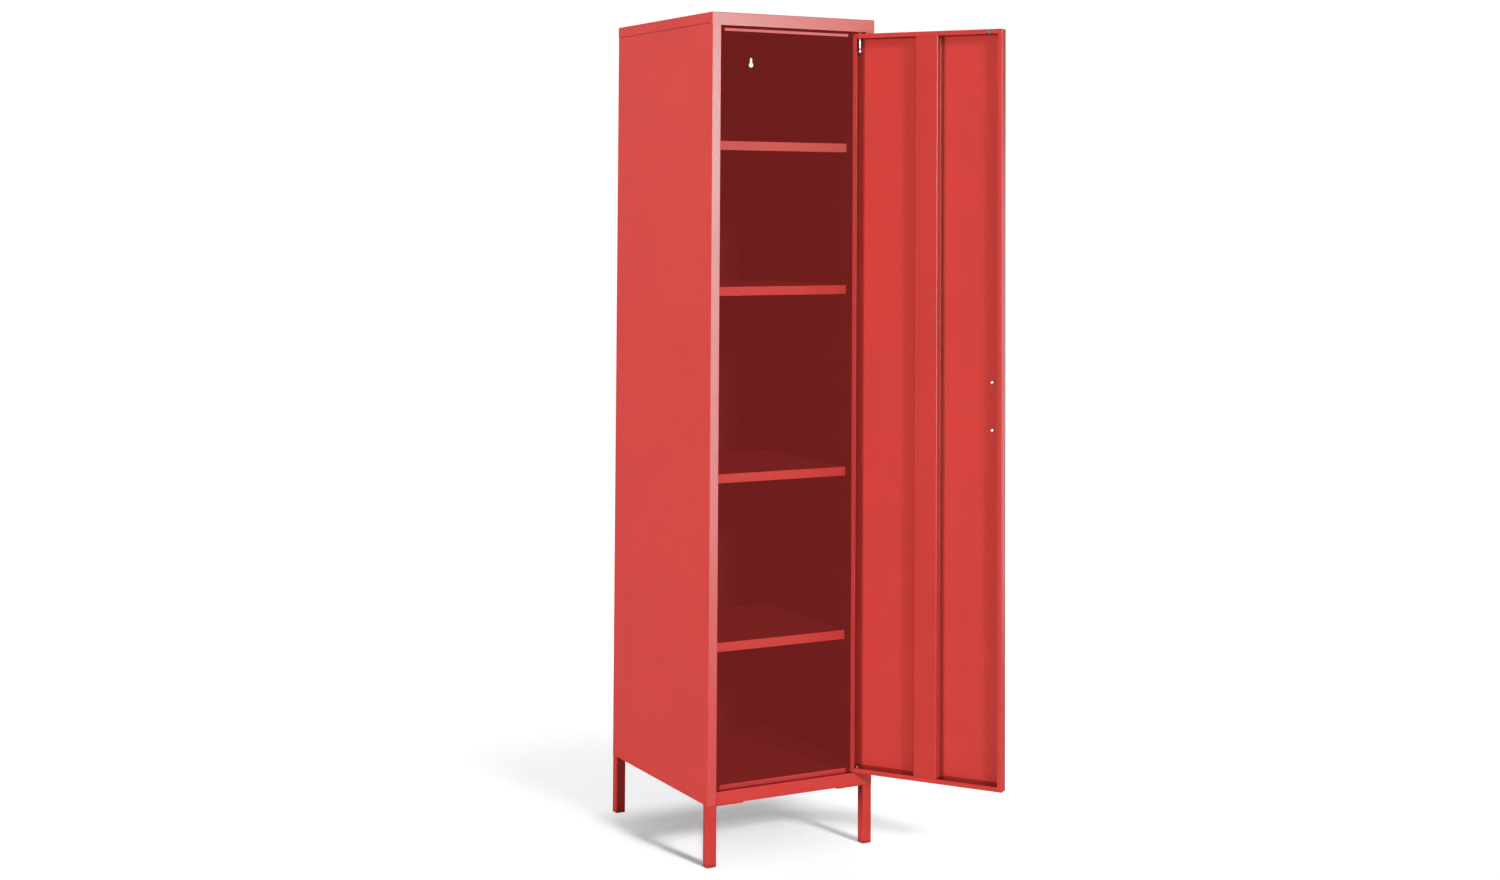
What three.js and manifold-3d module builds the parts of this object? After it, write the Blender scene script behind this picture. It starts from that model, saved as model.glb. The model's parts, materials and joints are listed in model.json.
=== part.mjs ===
// School locker: one tall compartment on four square legs, four shelves and one inset door
// on pin hinges. Millimetres, +Z up. The front faces -Y, the hinge side is +X.
// The origin is the centre of the front left foot's sole.
// The door stands open at rest; turning it by -OPEN_DEG about its pins closes it.
import * as THREE from "three";
import { mergeVertices } from "three/addons/utils/BufferGeometryUtils.js";
import Module from "manifold-3d";

const wasm = await Module();
wasm.setup();

// ---- driving dimensions ----
const WIDTH = 380; // over the cap
const DEPTH = 460;
const HEIGHT = 1700;
const SHEET = 0.8; // sheet thickness
const GAP = 0.06; // paint gap between pieces that lie on each other
const FIT = 0.8; // clearance of the back panel and shelves inside the walls
const SEAT = 0.3; // clearance under parts fixed to the door and round the hinge bush
const CUT = 1; // how far a cutting body runs past the metal

const CAP_FRONT = 26; // height of the cap's front flange
const CAP_SIDE = 21.6; // height of its side and rear flanges
const CAP_WRAP = 7; // how far the deep front flange wraps round each corner

const BASE_Z = 121; // underside of the cabinet
const RAIL_TOP = 146.8; // top edge of the front bottom rail
const LEDGE_Z = 144.3; // recessed ledge behind that edge
const LIP_TOP = 153.2; // top of the lower door stop
const HEAD_Z = 1675.4; // underside of the header ledge
const HEAD_LIP = 1664.6; // lower edge of the upper door stop
const STOP_Y = 21.5; // door stops, behind the front plane
const STOP_X0 = -152; // latch end of both door stops
const STOP_X1 = 140; // hinge end, short of the door corner's sweep
const STILE_IN = 168.8; // half width of the door opening
const STILE_DEEP = 20.8; // depth of the stile's return
const RAIL_HALF = STILE_IN - 0.1; // half length of the bottom rails
const FLOOR_FLANGE = 12; // turned-down edge of the floor

const SHELF_SET_BACK = 111; // shelf front behind the front plane
const SHELF_TOPS = [1444.2, 1142.8, 758.5, 415.0];
const SHELF_FRONT_H = 18.8;
const SHELF_FLANGE = 12; // side and rear flanges

const LEG = 21; // leg tube, outside
const LEG_WALL = 1.5;
const FOOT_H = 3; // visible part of a foot plug

const DOOR_X0 = -166.5; // closed door, free edge
const DOOR_X1 = 167; // closed door, hinge edge
const DOOR_Z0 = 147.8;
const DOOR_Z1 = 1669.4;
const DOOR_T = 20;
const DOOR_LIP = 9.5; // inner lip all round
const PIVOT_FROM_EDGE = 9.4; // hinge axis from the hinge edge
const PIVOT_FROM_FACE = 5.5; // hinge axis behind the door's outer face
const PIN_HOLE_R = 2.7; // door and top bush
const BOTTOM_PIN_HOLE_R = 2.4; // ledge and washer
const OPEN_DEG = 124.2; // opening angle at rest

// ---- derived planes and axes, cabinet centred in plan ----
const FRONT = -DEPTH / 2;
const BACK = DEPTH / 2;
const SIDE_OUT = WIDTH / 2 - SHEET - GAP; // outer face of the side panels
const SIDE_IN = SIDE_OUT - SHEET; // inner face of the side panels
const PANEL_OUT = BACK - SHEET - GAP; // rear face of the back panel
const PANEL_IN = PANEL_OUT - SHEET; // front face of the back panel
const CAP_EDGE = HEIGHT - CAP_FRONT; // lower edge of the cap's front flange
const CAP_SIDE_EDGE = HEIGHT - CAP_SIDE;
const LEG_X = SIDE_OUT - 0.4 - LEG / 2; // leg centres
const LEG_Y = DEPTH / 2 - LEG / 2;
const PIVOT_X = DOOR_X1 - PIVOT_FROM_EDGE;
const PIVOT_Y = FRONT + PIVOT_FROM_FACE;
const DOOR_BACK = FRONT + DOOR_T; // inner face of the closed door

// ---- materials ----
const paint = ({ color, roughness }) =>
  new THREE.MeshStandardMaterial({ color, roughness, metalness: 0 });
const red = () => paint({ color: 0xd94d46, roughness: 0.42 });
const redDoor = () => paint({ color: 0xd84844, roughness: 0.42 });
const redInside = () => paint({ color: 0xc4443d, roughness: 0.5 });
const nylon = () => paint({ color: 0x7a2a26, roughness: 0.55 });
const plug = () => paint({ color: 0x9c302c, roughness: 0.6 });
const zinc = () =>
  new THREE.MeshStandardMaterial({ color: 0xd6d3cc, roughness: 0.28, metalness: 0.9 });

// ---- geometry helpers ----
// Closed solid of a three.js geometry, for joins and cuts.
function solid(geometry) {
  const bare = geometry.clone();
  for (const key of Object.keys(bare.attributes)) {
    if (key !== "position") bare.deleteAttribute(key);
  }
  const merged = mergeVertices(bare, 1e-4);
  return new wasm.Manifold(
    new wasm.Mesh({
      numProp: 3,
      vertProperties: new Float32Array(merged.attributes.position.array),
      triVerts: new Uint32Array(merged.index.array),
    }),
  );
}

// Flat-shaded geometry of a solid.
function geometryOf(body) {
  const { vertProperties, triVerts } = body.getMesh();
  const indexed = new THREE.BufferGeometry();
  indexed.setAttribute("position", new THREE.BufferAttribute(new Float32Array(vertProperties), 3));
  indexed.setIndex(new THREE.BufferAttribute(new Uint32Array(triVerts), 1));
  const flat = indexed.toNonIndexed();
  flat.computeVertexNormals();
  return flat;
}

function box(x0, x1, y0, y1, z0, z1) {
  const geometry = new THREE.BoxGeometry(x1 - x0, y1 - y0, z1 - z0);
  return solid(geometry.translate((x0 + x1) / 2, (y0 + y1) / 2, (z0 + z1) / 2));
}

// Upright cylinder from z0 to z1.
function rod(x, y, z0, z1, radius, segments = 24) {
  const geometry = new THREE.CylinderGeometry(radius, radius, z1 - z0, segments);
  return solid(geometry.rotateX(Math.PI / 2).translate(x, y, (z0 + z1) / 2));
}

// Cylinder along Y from y0 to y1.
function rodY(x, z, y0, y1, radius, segments = 24) {
  const geometry = new THREE.CylinderGeometry(radius, radius, y1 - y0, segments);
  return solid(geometry.translate(x, (y0 + y1) / 2, z));
}

const vectors = (points) => points.map(([u, v]) => new THREE.Vector2(u, v));
const lathe = (profile) => new THREE.LatheGeometry(vectors(profile), 24);

// Turned about the vertical line through (x, y); profile rows are [radius, z].
const turned = (x, y, profile) => solid(lathe(profile).rotateX(Math.PI / 2).translate(x, y, 0));

// Turned about the line along Y through (x, z); profile rows are [radius, y].
const turnedY = (x, z, profile) => solid(lathe(profile).translate(x, 0, z));

// Maps an extrusion along local Z onto the named axis.
const SWEEP_FRAMES = {
  x: (from) => new THREE.Matrix4().set(0, 0, 1, from, 1, 0, 0, 0, 0, 1, 0, 0, 0, 0, 0, 1),
  y: (from, to) => new THREE.Matrix4().set(1, 0, 0, 0, 0, 0, -1, to, 0, 1, 0, 0, 0, 0, 0, 1),
  z: (from) => new THREE.Matrix4().makeTranslation(0, 0, from),
};

// Outline swept along an axis: "z" takes (x, y), "x" takes (y, z), "y" takes (x, z).
function prism(outline, axis, from, to) {
  const geometry = new THREE.ExtrudeGeometry(new THREE.Shape(vectors(outline)), {
    depth: to - from,
    bevelEnabled: false,
  });
  return solid(geometry.applyMatrix4(SWEEP_FRAMES[axis](from, to)));
}

// Arc of points that rounds a corner between its two neighbours.
function roundCorner(before, corner, after, radius, steps) {
  const [a, tip, b] = vectors([before, corner, after]);
  const toBefore = a.sub(tip).normalize();
  const toAfter = b.sub(tip).normalize();
  const halfAngle = Math.acos(toBefore.dot(toAfter)) / 2;
  const setBack = radius / Math.tan(halfAngle);
  const start = tip.clone().addScaledVector(toBefore, setBack);
  const end = tip.clone().addScaledVector(toAfter, setBack);
  const bisector = toBefore.clone().add(toAfter).normalize();
  const centre = tip.clone().addScaledVector(bisector, radius / Math.sin(halfAngle));
  const startSpoke = start.clone().sub(centre);
  const endSpoke = end.clone().sub(centre);
  const sweep = Math.atan2(startSpoke.cross(endSpoke), startSpoke.dot(endSpoke));
  const arc = [];
  for (let i = 0; i <= steps; i++) {
    arc.push(start.clone().rotateAround(centre, (sweep * i) / steps).toArray());
  }
  return arc;
}

// Section of a folded sheet. The line follows one face, the thickness lies to its left (+1)
// or right (-1), and bendRadii holds the inside radius of each bend.
function folded(line, side, bendRadii, steps = 3) {
  const last = line.length - 1;
  const normals = line.slice(1).map(([x, y], i) => {
    const dx = x - line[i][0];
    const dy = y - line[i][1];
    const length = Math.hypot(dx, dy);
    return [(-dy * side) / length, (dx * side) / length];
  });
  const offset = line.map(([x, y], i) => {
    const before = normals[Math.max(i - 1, 0)];
    const after = normals[Math.min(i, last - 1)];
    const sumX = before[0] + after[0];
    const sumY = before[1] + after[1];
    const reach = (2 * SHEET) / (sumX * sumX + sumY * sumY);
    return [x + sumX * reach, y + sumY * reach];
  });
  const near = [line[0]];
  const far = [offset[0]];
  for (let i = 1; i < last; i++) {
    const turn = normals[i - 1][0] * normals[i][1] - normals[i - 1][1] * normals[i][0];
    const inside = bendRadii[i - 1];
    const outside = inside + SHEET;
    const [nearR, farR] = turn * side > 0 ? [outside, inside] : [inside, outside];
    near.push(...roundCorner(line[i - 1], line[i], line[i + 1], nearR, steps));
    far.push(...roundCorner(offset[i - 1], offset[i], offset[i + 1], farR, steps));
  }
  near.push(line[last]);
  far.push(offset[last]);
  return near.concat(far.reverse());
}

function roundRect(x0, x1, y0, y1, radius, steps = 3) {
  const corners = [[x0, y0], [x1, y0], [x1, y1], [x0, y1]];
  return corners.flatMap((corner, i) =>
    roundCorner(corners[(i + 3) % 4], corner, corners[(i + 1) % 4], radius, steps),
  );
}

// Block rounded in plan (radius) and along its top and bottom edges (edge).
function softBlock(x0, x1, y0, y1, z0, z1, radius, edge) {
  const planRadius = Math.max(radius - edge, 0.2);
  const plan = roundRect(x0 + edge, x1 - edge, y0 + edge, y1 - edge, planRadius);
  const geometry = new THREE.ExtrudeGeometry(new THREE.Shape(vectors(plan)), {
    depth: z1 - z0 - 2 * edge,
    bevelEnabled: true,
    bevelThickness: edge,
    bevelSize: edge,
    bevelSegments: 2,
  });
  return solid(geometry.translate(0, 0, z0 + edge));
}

const mirrorX = (body) => body.mirror([1, 0, 0]);

// ---- assembly ----
const locker = new THREE.Group();
locker.position.set(LEG_X, LEG_Y, 0); // plan centre, seen from the front left foot
const door = new THREE.Group();
door.position.set(PIVOT_X, PIVOT_Y, 0);
door.rotation.z = THREE.MathUtils.degToRad(OPEN_DEG);
locker.add(door);

function addTo(parent, name, body, material) {
  const mesh = new THREE.Mesh(geometryOf(body), material);
  mesh.name = name;
  parent.add(mesh);
}
const add = (name, body, material) => addTo(locker, name, body, material);
// Door pieces are drawn closed, then moved to the hinge axis.
const addDoor = (name, body, material) =>
  addTo(door, name, body.translate([-PIVOT_X, -PIVOT_Y, 0]), material);

// ---- side panels: wall, front stile with return and hem, rear flange, bottom flange ----
{
  const hem = 13;
  const rearFlange = 17;
  const cornerNotch = 1.9; // front and rear corners cut back behind the cap
  const capClear = 0.2;
  const section = folded(
    [
      [-STILE_IN - hem, FRONT + STILE_DEEP],
      [-STILE_IN, FRONT + STILE_DEEP],
      [-STILE_IN, FRONT],
      [-SIDE_OUT, FRONT],
      [-SIDE_OUT, BACK],
      [-SIDE_OUT + rearFlange, BACK],
    ],
    -1,
    [0.5, 0.7, 0.9, 0.7],
  );
  const x0 = -SIDE_OUT - CUT;
  const y0 = FRONT - CUT;
  const stileTop = CAP_EDGE - capClear;
  const rearTop = CAP_SIDE_EDGE - capClear;
  const top = HEIGHT + CUT;
  const flangeZ = BASE_Z + 0.1;
  const bottomFlange = box(
    -SIDE_OUT + 0.4, -SIDE_OUT + 18,
    FRONT + 27, BACK - 29,
    flangeZ, flangeZ + SHEET,
  );
  const left = prism(section, "z", BASE_Z, HEIGHT - SHEET - GAP)
    .subtract(box(-SIDE_IN, 0, y0, FRONT + STILE_DEEP + CUT, stileTop, top))
    .subtract(box(x0, 0, y0, FRONT + cornerNotch, stileTop, top))
    .subtract(box(x0, 0, BACK - cornerNotch, BACK + CUT, rearTop, top))
    .add(bottomFlange);
  add("side_panel_left", left, red());
  add("side_panel_right", mirrorX(left), red());
}

// ---- back panel with two wall fixing keyholes ----
{
  const keyholeX = 138.5;
  const keyholeZ = 1630.5; // centre of the round hole
  const holeR = 5.6;
  const slotR = 2.9;
  const slotRise = 13; // from the round hole to the slot's end centre
  const half = SIDE_IN - FIT;
  const slotTop = keyholeZ + slotRise;
  const y0 = PANEL_IN - CUT;
  const y1 = PANEL_OUT + CUT;
  let panel = box(-half, half, PANEL_IN, PANEL_OUT, BASE_Z + SHEET + GAP, HEIGHT - SHEET - GAP);
  for (const x of [-keyholeX, keyholeX]) {
    panel = panel
      .subtract(rodY(x, keyholeZ, y0, y1, holeR))
      .subtract(box(x - slotR, x + slotR, y0, y1, keyholeZ, slotTop))
      .subtract(rodY(x, slotTop, y0, y1, slotR, 16));
  }
  add("back_panel", panel, redInside());
}

// ---- top cap: hollow tray, its side and rear flanges shorter than the front ----
{
  const halfWidth = WIDTH / 2;
  const inner = halfWidth - SHEET;
  const hollow = roundRect(-inner, inner, FRONT + SHEET, BACK - SHEET, 0.8);
  const z0 = CAP_EDGE - CUT;
  const sideCut = box(
    -halfWidth - CUT, -inner + CUT,
    FRONT + CAP_WRAP, BACK + CUT,
    z0, CAP_SIDE_EDGE,
  );
  const cap = softBlock(-halfWidth, halfWidth, FRONT, BACK, CAP_EDGE, HEIGHT, 1.6, 1.1)
    .subtract(prism(hollow, "z", z0, HEIGHT - SHEET))
    .subtract(sideCut)
    .subtract(mirrorX(sideCut))
    .subtract(box(-WIDTH, WIDTH, BACK - SHEET - CUT, BACK + CUT, z0, CAP_SIDE_EDGE));
  add("top_cap", cap, red());
}

// Trims both ends of a rail's door stop on a slant, from its root at the ledge to its tip.
function trimStop(rail, rootZ, tipZ) {
  const y = FRONT + STOP_Y;
  let trimmed = rail;
  for (const [end, side] of [[STOP_X0, -1], [STOP_X1, 1]]) {
    const outer = side * (SIDE_IN + CUT);
    const outline = [
      [outer, tipZ],
      [end - side * 2.5, tipZ],
      [end + side, rootZ],
      [outer, rootZ],
    ];
    trimmed = trimmed.subtract(prism(outline, "y", y - CUT, y + SHEET + CUT));
  }
  return trimmed;
}
const STOP_ROOT = 0.3; // uncut height of the stop next to its ledge

// ---- header rail: front web, ledge, door stop ----
{
  const webY = FRONT + SHEET + GAP;
  const section = folded(
    [
      [webY, HEIGHT - SHEET - 1.2],
      [webY, HEAD_Z],
      [FRONT + STOP_Y, HEAD_Z],
      [FRONT + STOP_Y, HEAD_LIP],
    ],
    1,
    [0.5, 0.5],
  );
  const half = SIDE_IN - GAP;
  const blank = prism(section, "x", -half, half);
  const rail = trimStop(blank, HEAD_Z - STOP_ROOT, HEAD_LIP - CUT)
    .subtract(rod(PIVOT_X, PIVOT_Y, HEAD_Z - CUT, HEAD_Z + SHEET + CUT, 3.6));
  add("header_rail", rail, red());
}

// ---- leg bolt holes, shared by rails and gussets ----
const BOLT_X = 124;
const BOLT_FRONT_Y = FRONT + 13;
const BOLT_REAR_Y = BACK - 14;
function drillBoltHoles(body, y) {
  const hole = rod(BOLT_X, y, BASE_Z - 3, BASE_Z + 2, 2.7, 16);
  return body.subtract(hole).subtract(mirrorX(hole));
}

// ---- bottom front rail: flange, web, rim, ledge, door stop ----
{
  const section = folded(
    [
      [FRONT + 25, BASE_Z],
      [FRONT, BASE_Z],
      [FRONT, RAIL_TOP],
      [FRONT + 2, RAIL_TOP],
      [FRONT + 2, LEDGE_Z],
      [FRONT + STOP_Y, LEDGE_Z],
      [FRONT + STOP_Y, LIP_TOP],
    ],
    -1,
    [0.6, 0.12, 0.12, 0.3, 0.5],
  );
  const pinHole = rod(
    PIVOT_X, PIVOT_Y, LEDGE_Z - SHEET - CUT, LEDGE_Z + CUT, BOTTOM_PIN_HOLE_R,
  );
  const blank = prism(section, "x", -RAIL_HALF, RAIL_HALF);
  const rail = trimStop(blank, LEDGE_Z + STOP_ROOT, LIP_TOP + CUT).subtract(pinHole);
  add("bottom_rail_front", drillBoltHoles(rail, BOLT_FRONT_Y), red());
}

// ---- bottom rear rail: flange and web ----
{
  const webY = PANEL_IN - GAP;
  const line = [[BACK - 27, BASE_Z], [webY, BASE_Z], [webY, LEDGE_Z - FLOOR_FLANGE - 0.4]];
  const rail = prism(folded(line, 1, [0.6]), "x", -RAIL_HALF, RAIL_HALF);
  add("bottom_rail_rear", drillBoltHoles(rail, BOLT_REAR_Y), red());
}

// ---- floor panel: tray with flanges turned down ----
{
  const half = SIDE_IN - GAP;
  const inner = half - SHEET;
  const y0 = FRONT + STOP_Y + SHEET + GAP;
  const y1 = PANEL_IN - GAP;
  const z0 = LEDGE_Z - FLOOR_FLANGE;
  const hollow = box(-inner, inner, y0 + SHEET, y1 - SHEET, z0 - CUT, LEDGE_Z - SHEET);
  add("floor_panel", box(-half, half, y0, y1, z0, LEDGE_Z).subtract(hollow), redInside());
}

// ---- shelves ----
const SHELF_Y0 = FRONT + SHELF_SET_BACK;
const SHELF_Y1 = BACK - 2 * SHEET - FIT;
function shelf(top) {
  const section = folded(
    [
      [SHELF_Y0 + 9, top - SHELF_FRONT_H],
      [SHELF_Y0, top - SHELF_FRONT_H],
      [SHELF_Y0, top],
      [SHELF_Y1, top],
      [SHELF_Y1, top - SHELF_FLANGE],
    ],
    -1,
    [0.6, 0.6, 0.6],
  );
  const half = SIDE_IN - FIT;
  const flangeX = -half + 0.1;
  const sideFlange = box(
    flangeX, flangeX + SHEET,
    SHELF_Y0 + 4, SHELF_Y1 - 4,
    top - SHELF_FLANGE, top - 0.4,
  );
  return prism(section, "x", -half, half).add(sideFlange).add(mirrorX(sideFlange));
}

// Right-hand angle clip under a shelf's side flange.
function shelfClip(top, y) {
  const thickness = 1.2;
  const ledge = 13;
  const drop = 15;
  const halfLength = 10;
  const wall = SIDE_IN - GAP;
  const z = top - SHELF_FLANGE - GAP;
  const outline = [
    [wall, z],
    [wall - ledge, z],
    [wall - ledge, z - thickness],
    [wall - thickness, z - thickness],
    [wall - thickness, z - drop],
    [wall, z - drop],
  ];
  return prism(outline, "y", y - halfLength, y + halfLength);
}

SHELF_TOPS.forEach((top, i) => {
  add(`shelf_${i + 1}`, shelf(top), red());
  [SHELF_Y0 + 34, SHELF_Y1 - 40].forEach((y, row) => {
    const clip = shelfClip(top, y);
    add(`shelf_clip_${i + 1}${"ab"[row]}`, mirrorX(clip), redInside());
    add(`shelf_clip_${i + 1}${"cd"[row]}`, clip, redInside());
  });
});

// ---- legs, foot plugs, gussets, bolts ----
const LEG_HALF = LEG / 2;
// Square about a leg's centre, as x0, x1, y0, y1.
const squareAt = (x, y, half) => [x - half, x + half, y - half, y + half];

function leg(x, y) {
  const outer = roundRect(...squareAt(x, y, LEG_HALF), 1.6);
  const bore = roundRect(...squareAt(x, y, LEG_HALF - LEG_WALL), 0.6, 2);
  return prism(outer, "z", FOOT_H + GAP, BASE_Z - GAP)
    .subtract(prism(bore, "z", FOOT_H - CUT, BASE_Z + CUT));
}

function foot(x, y) {
  const stem = box(...squareAt(x, y, LEG_HALF - LEG_WALL - 0.2), FOOT_H - 0.5, 16);
  return softBlock(...squareAt(x, y, LEG_HALF), 0, FOOT_H, 1.8, 0.7).add(stem);
}

// Plate wrapped round the leg's inner corner, under the rail flange.
function gusset(sideX, sideY, boltY) {
  const innerX = LEG_X - LEG_HALF - 0.2;
  const innerY = LEG_Y - LEG_HALF - 0.2;
  const armX = innerX + 10; // outer side of the arm that runs past the leg
  const reachX = 107;
  const edgeY = DEPTH / 2 - 0.6;
  const armY = DEPTH / 2 - 78;
  const outline = [
    [innerX, edgeY],
    [reachX, edgeY],
    [reachX, DEPTH / 2 - 22],
    [innerX + 2, armY],
    [armX, armY],
    [armX, innerY],
    [innerX, innerY],
  ].map(([x, y]) => [sideX * x, sideY * y]);
  const top = BASE_Z - GAP;
  return drillBoltHoles(prism(outline, "z", top - 2, top), boltY);
}

// Bolt profile: [radius, height from the cabinet's underside]
const BOLT_PROFILE = [
  [0, -5.4],
  [3.2, -5.4],
  [4.8, -4.6],
  [5.2, -2.2],
  [2.4, -2.2],
  [2.4, 7],
  [1.8, 7.8],
  [0, 7.8],
];

for (const [sideX, sideY, tag] of [
  [-1, -1, "front_left"],
  [1, -1, "front_right"],
  [-1, 1, "rear_left"],
  [1, 1, "rear_right"],
]) {
  const x = sideX * LEG_X;
  const y = sideY * LEG_Y;
  const boltY = sideY < 0 ? BOLT_FRONT_Y : BOLT_REAR_Y;
  const boltProfile = BOLT_PROFILE.map(([r, z]) => [r, BASE_Z + z]);
  add(`leg_${tag}`, leg(x, y), red());
  add(`foot_${tag}`, foot(x, y), plug());
  add(`leg_gusset_${tag}`, gusset(sideX, sideY, boltY), red());
  add(`leg_bolt_${tag}`, turned(sideX * BOLT_X, boltY, boltProfile), zinc());
}

// ---- hinge bush, washer and bottom pin, on the cabinet; profiles are [radius, z] ----
{
  const bushZ0 = 1670.6;
  const bushZ1 = 1679;
  const shoulder = CAP_EDGE - SEAT;
  const bush = turned(PIVOT_X, PIVOT_Y, [
    [0, bushZ0],
    [5.0, bushZ0],
    [5.0, shoulder],
    [3.4, shoulder],
    [3.4, bushZ1],
    [0, bushZ1],
  ]);
  const bore = rod(PIVOT_X, PIVOT_Y, bushZ0 - CUT, bushZ1 + CUT, PIN_HOLE_R);
  add("hinge_bush_top", bush.subtract(bore), nylon());
}
{
  const top = 147.4;
  const hole = rod(PIVOT_X, PIVOT_Y, LEDGE_Z - CUT, top + CUT, BOTTOM_PIN_HOLE_R);
  const washer = rod(PIVOT_X, PIVOT_Y, LEDGE_Z + GAP, top, 3.35).subtract(hole);
  add("hinge_washer_bottom", washer, nylon());
}
{
  const under = LEDGE_Z - SHEET; // underside of the ledge
  const pin = turned(PIVOT_X, PIVOT_Y, [
    [0, under - 1.4],
    [4.4, under - 1.4],
    [4.4, under - GAP],
    [2.0, under - GAP],
    [2.0, 156.6],
    [1.7, 157.6],
    [0.9, 158.2],
    [0, 158.4],
  ]);
  add("hinge_pin_bottom", pin, zinc());
}

// ---- door fixings ----
const HANDLE_PITCH = 96; // between screws
const HANDLE_Z = 908.5; // handle centre
const HANDLE_X = DOOR_X0 + 28.5;
const SCREW_Z1 = HANDLE_Z + HANDLE_PITCH / 2;
const SCREW_Z0 = HANDLE_Z - HANDLE_PITCH / 2;
const SCREW_HOLE_R = 2.4;
const MAGNET_X = DOOR_X1 - 305.7;
const MAGNET_Z = 1663.8;

// ---- door pan: hollow, its inner face open inside the lip ----
{
  const hollow = roundRect(
    DOOR_X0 + SHEET, DOOR_X1 - SHEET, FRONT + SHEET, DOOR_BACK - SHEET, 0.7,
  );
  const wall = SHEET + CUT; // depth that cuts through one wall
  const opening = box(
    DOOR_X0 + DOOR_LIP, DOOR_X1 - DOOR_LIP,
    DOOR_BACK - wall, DOOR_BACK + CUT,
    DOOR_Z0 + DOOR_LIP, DOOR_Z1 - DOOR_LIP,
  );
  let pan = softBlock(DOOR_X0, DOOR_X1, FRONT, DOOR_BACK, DOOR_Z0, DOOR_Z1, 1.5, 1.0)
    .subtract(prism(hollow, "z", DOOR_Z0 + SHEET, DOOR_Z1 - SHEET))
    .subtract(opening)
    .subtract(rod(PIVOT_X, PIVOT_Y, DOOR_Z1 - wall, DOOR_Z1 + CUT, PIN_HOLE_R))
    .subtract(rod(PIVOT_X, PIVOT_Y, DOOR_Z0 - CUT, DOOR_Z0 + wall, PIN_HOLE_R))
    .subtract(rodY(MAGNET_X, MAGNET_Z, DOOR_BACK - wall, DOOR_BACK + CUT, 2.4, 16));
  for (const z of [SCREW_Z1, SCREW_Z0]) {
    pan = pan.subtract(rodY(HANDLE_X, z, FRONT - CUT, FRONT + wall, SCREW_HOLE_R, 16));
  }
  addDoor("door_skin", pan, redDoor());
}

// ---- door centre stiffener: hat section with spread feet ----
{
  const centre = (DOOR_X0 + DOOR_X1) / 2;
  const half = 25; // half width of the face
  const foot = half + 9;
  const footY = FRONT + 2 * SHEET + SEAT; // inner face of the feet
  const section = folded(
    [
      [centre - foot, footY],
      [centre - half, footY],
      [centre - half, DOOR_BACK],
      [centre + half, DOOR_BACK],
      [centre + half, footY],
      [centre + foot, footY],
    ],
    -1,
    [1.0, 1.4, 1.4, 1.0],
    4,
  );
  const inset = DOOR_LIP + SEAT;
  addDoor("door_stiffener", prism(section, "z", DOOR_Z0 + inset, DOOR_Z1 - inset), redDoor());
}

// ---- handle: round bar bent into two posts, and its screws ----
{
  const barR = 4.5;
  const bend = 9;
  const seatY = FRONT - SEAT;
  const barY = FRONT - 27 + barR; // centre line of the grip, 27 being the overall stand-off
  const bendY = barY + bend;
  const at = (y, z) => new THREE.Vector3(HANDLE_X, y, z);
  const line = (from, to) => new THREE.LineCurve3(from, to);
  const curve = (from, corner, to) => new THREE.QuadraticBezierCurve3(from, corner, to);
  const upper = SCREW_Z1 - bend;
  const lower = SCREW_Z0 + bend;
  const path = new THREE.CurvePath();
  path.add(line(at(seatY, SCREW_Z1), at(bendY, SCREW_Z1)));
  path.add(curve(at(bendY, SCREW_Z1), at(barY, SCREW_Z1), at(barY, upper)));
  path.add(line(at(barY, upper), at(barY, lower)));
  path.add(curve(at(barY, lower), at(barY, SCREW_Z0), at(bendY, SCREW_Z0)));
  path.add(line(at(bendY, SCREW_Z0), at(seatY, SCREW_Z0)));
  const round = new THREE.Shape();
  round.absarc(0, 0, barR, 0, Math.PI * 2, false);
  let handle = solid(
    new THREE.ExtrudeGeometry(round, {
      steps: 60,
      curveSegments: 8,
      bevelEnabled: false,
      extrudePath: path,
    }),
  );
  for (const z of [SCREW_Z1, SCREW_Z0]) {
    handle = handle.subtract(rodY(HANDLE_X, z, seatY - 12, seatY + CUT, SCREW_HOLE_R, 16));
  }
  addDoor("door_handle", handle, zinc());

  const headY = FRONT + SHEET + SEAT; // under the screw head, inside the door
  const slotY0 = headY + 1.6;
  const slotY1 = headY + 4.7;
  const long = 3; // half length and half width of the cross slots
  const thin = 0.6;
  for (const [name, z] of [["upper", SCREW_Z1], ["lower", SCREW_Z0]]) {
    const screw = turnedY(HANDLE_X, z, [
      [0, seatY - 10],
      [1.9, seatY - 10],
      [1.9, headY],
      [4.6, headY],
      [4.4, headY + 1.3],
      [3.2, headY + 2.4],
      [0, headY + 2.8],
    ])
      .subtract(box(HANDLE_X - thin, HANDLE_X + thin, slotY0, slotY1, z - long, z + long))
      .subtract(box(HANDLE_X - long, HANDLE_X + long, slotY0, slotY1, z - thin, z + thin));
    addDoor(`handle_screw_${name}`, screw, zinc());
  }
}

// ---- round catch magnet, riveted through the top lip ----
{
  // [radius, y from the door's inner face]
  const profile = [
    [0, -SHEET - 1.6],
    [3.4, -SHEET - 1.6],
    [3.4, -SHEET - SEAT],
    [2.0, -SHEET - SEAT],
    [2.0, SEAT],
    [4.5, SEAT],
    [4.5, 0.9],
    [3.9, 1.3],
    [2.4, 1.3],
    [2.0, 0.7],
    [0, 0.7],
  ].map(([r, y]) => [r, DOOR_BACK + y]);
  addDoor("catch_magnet", turnedY(MAGNET_X, MAGNET_Z, profile), zinc());
}

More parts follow.
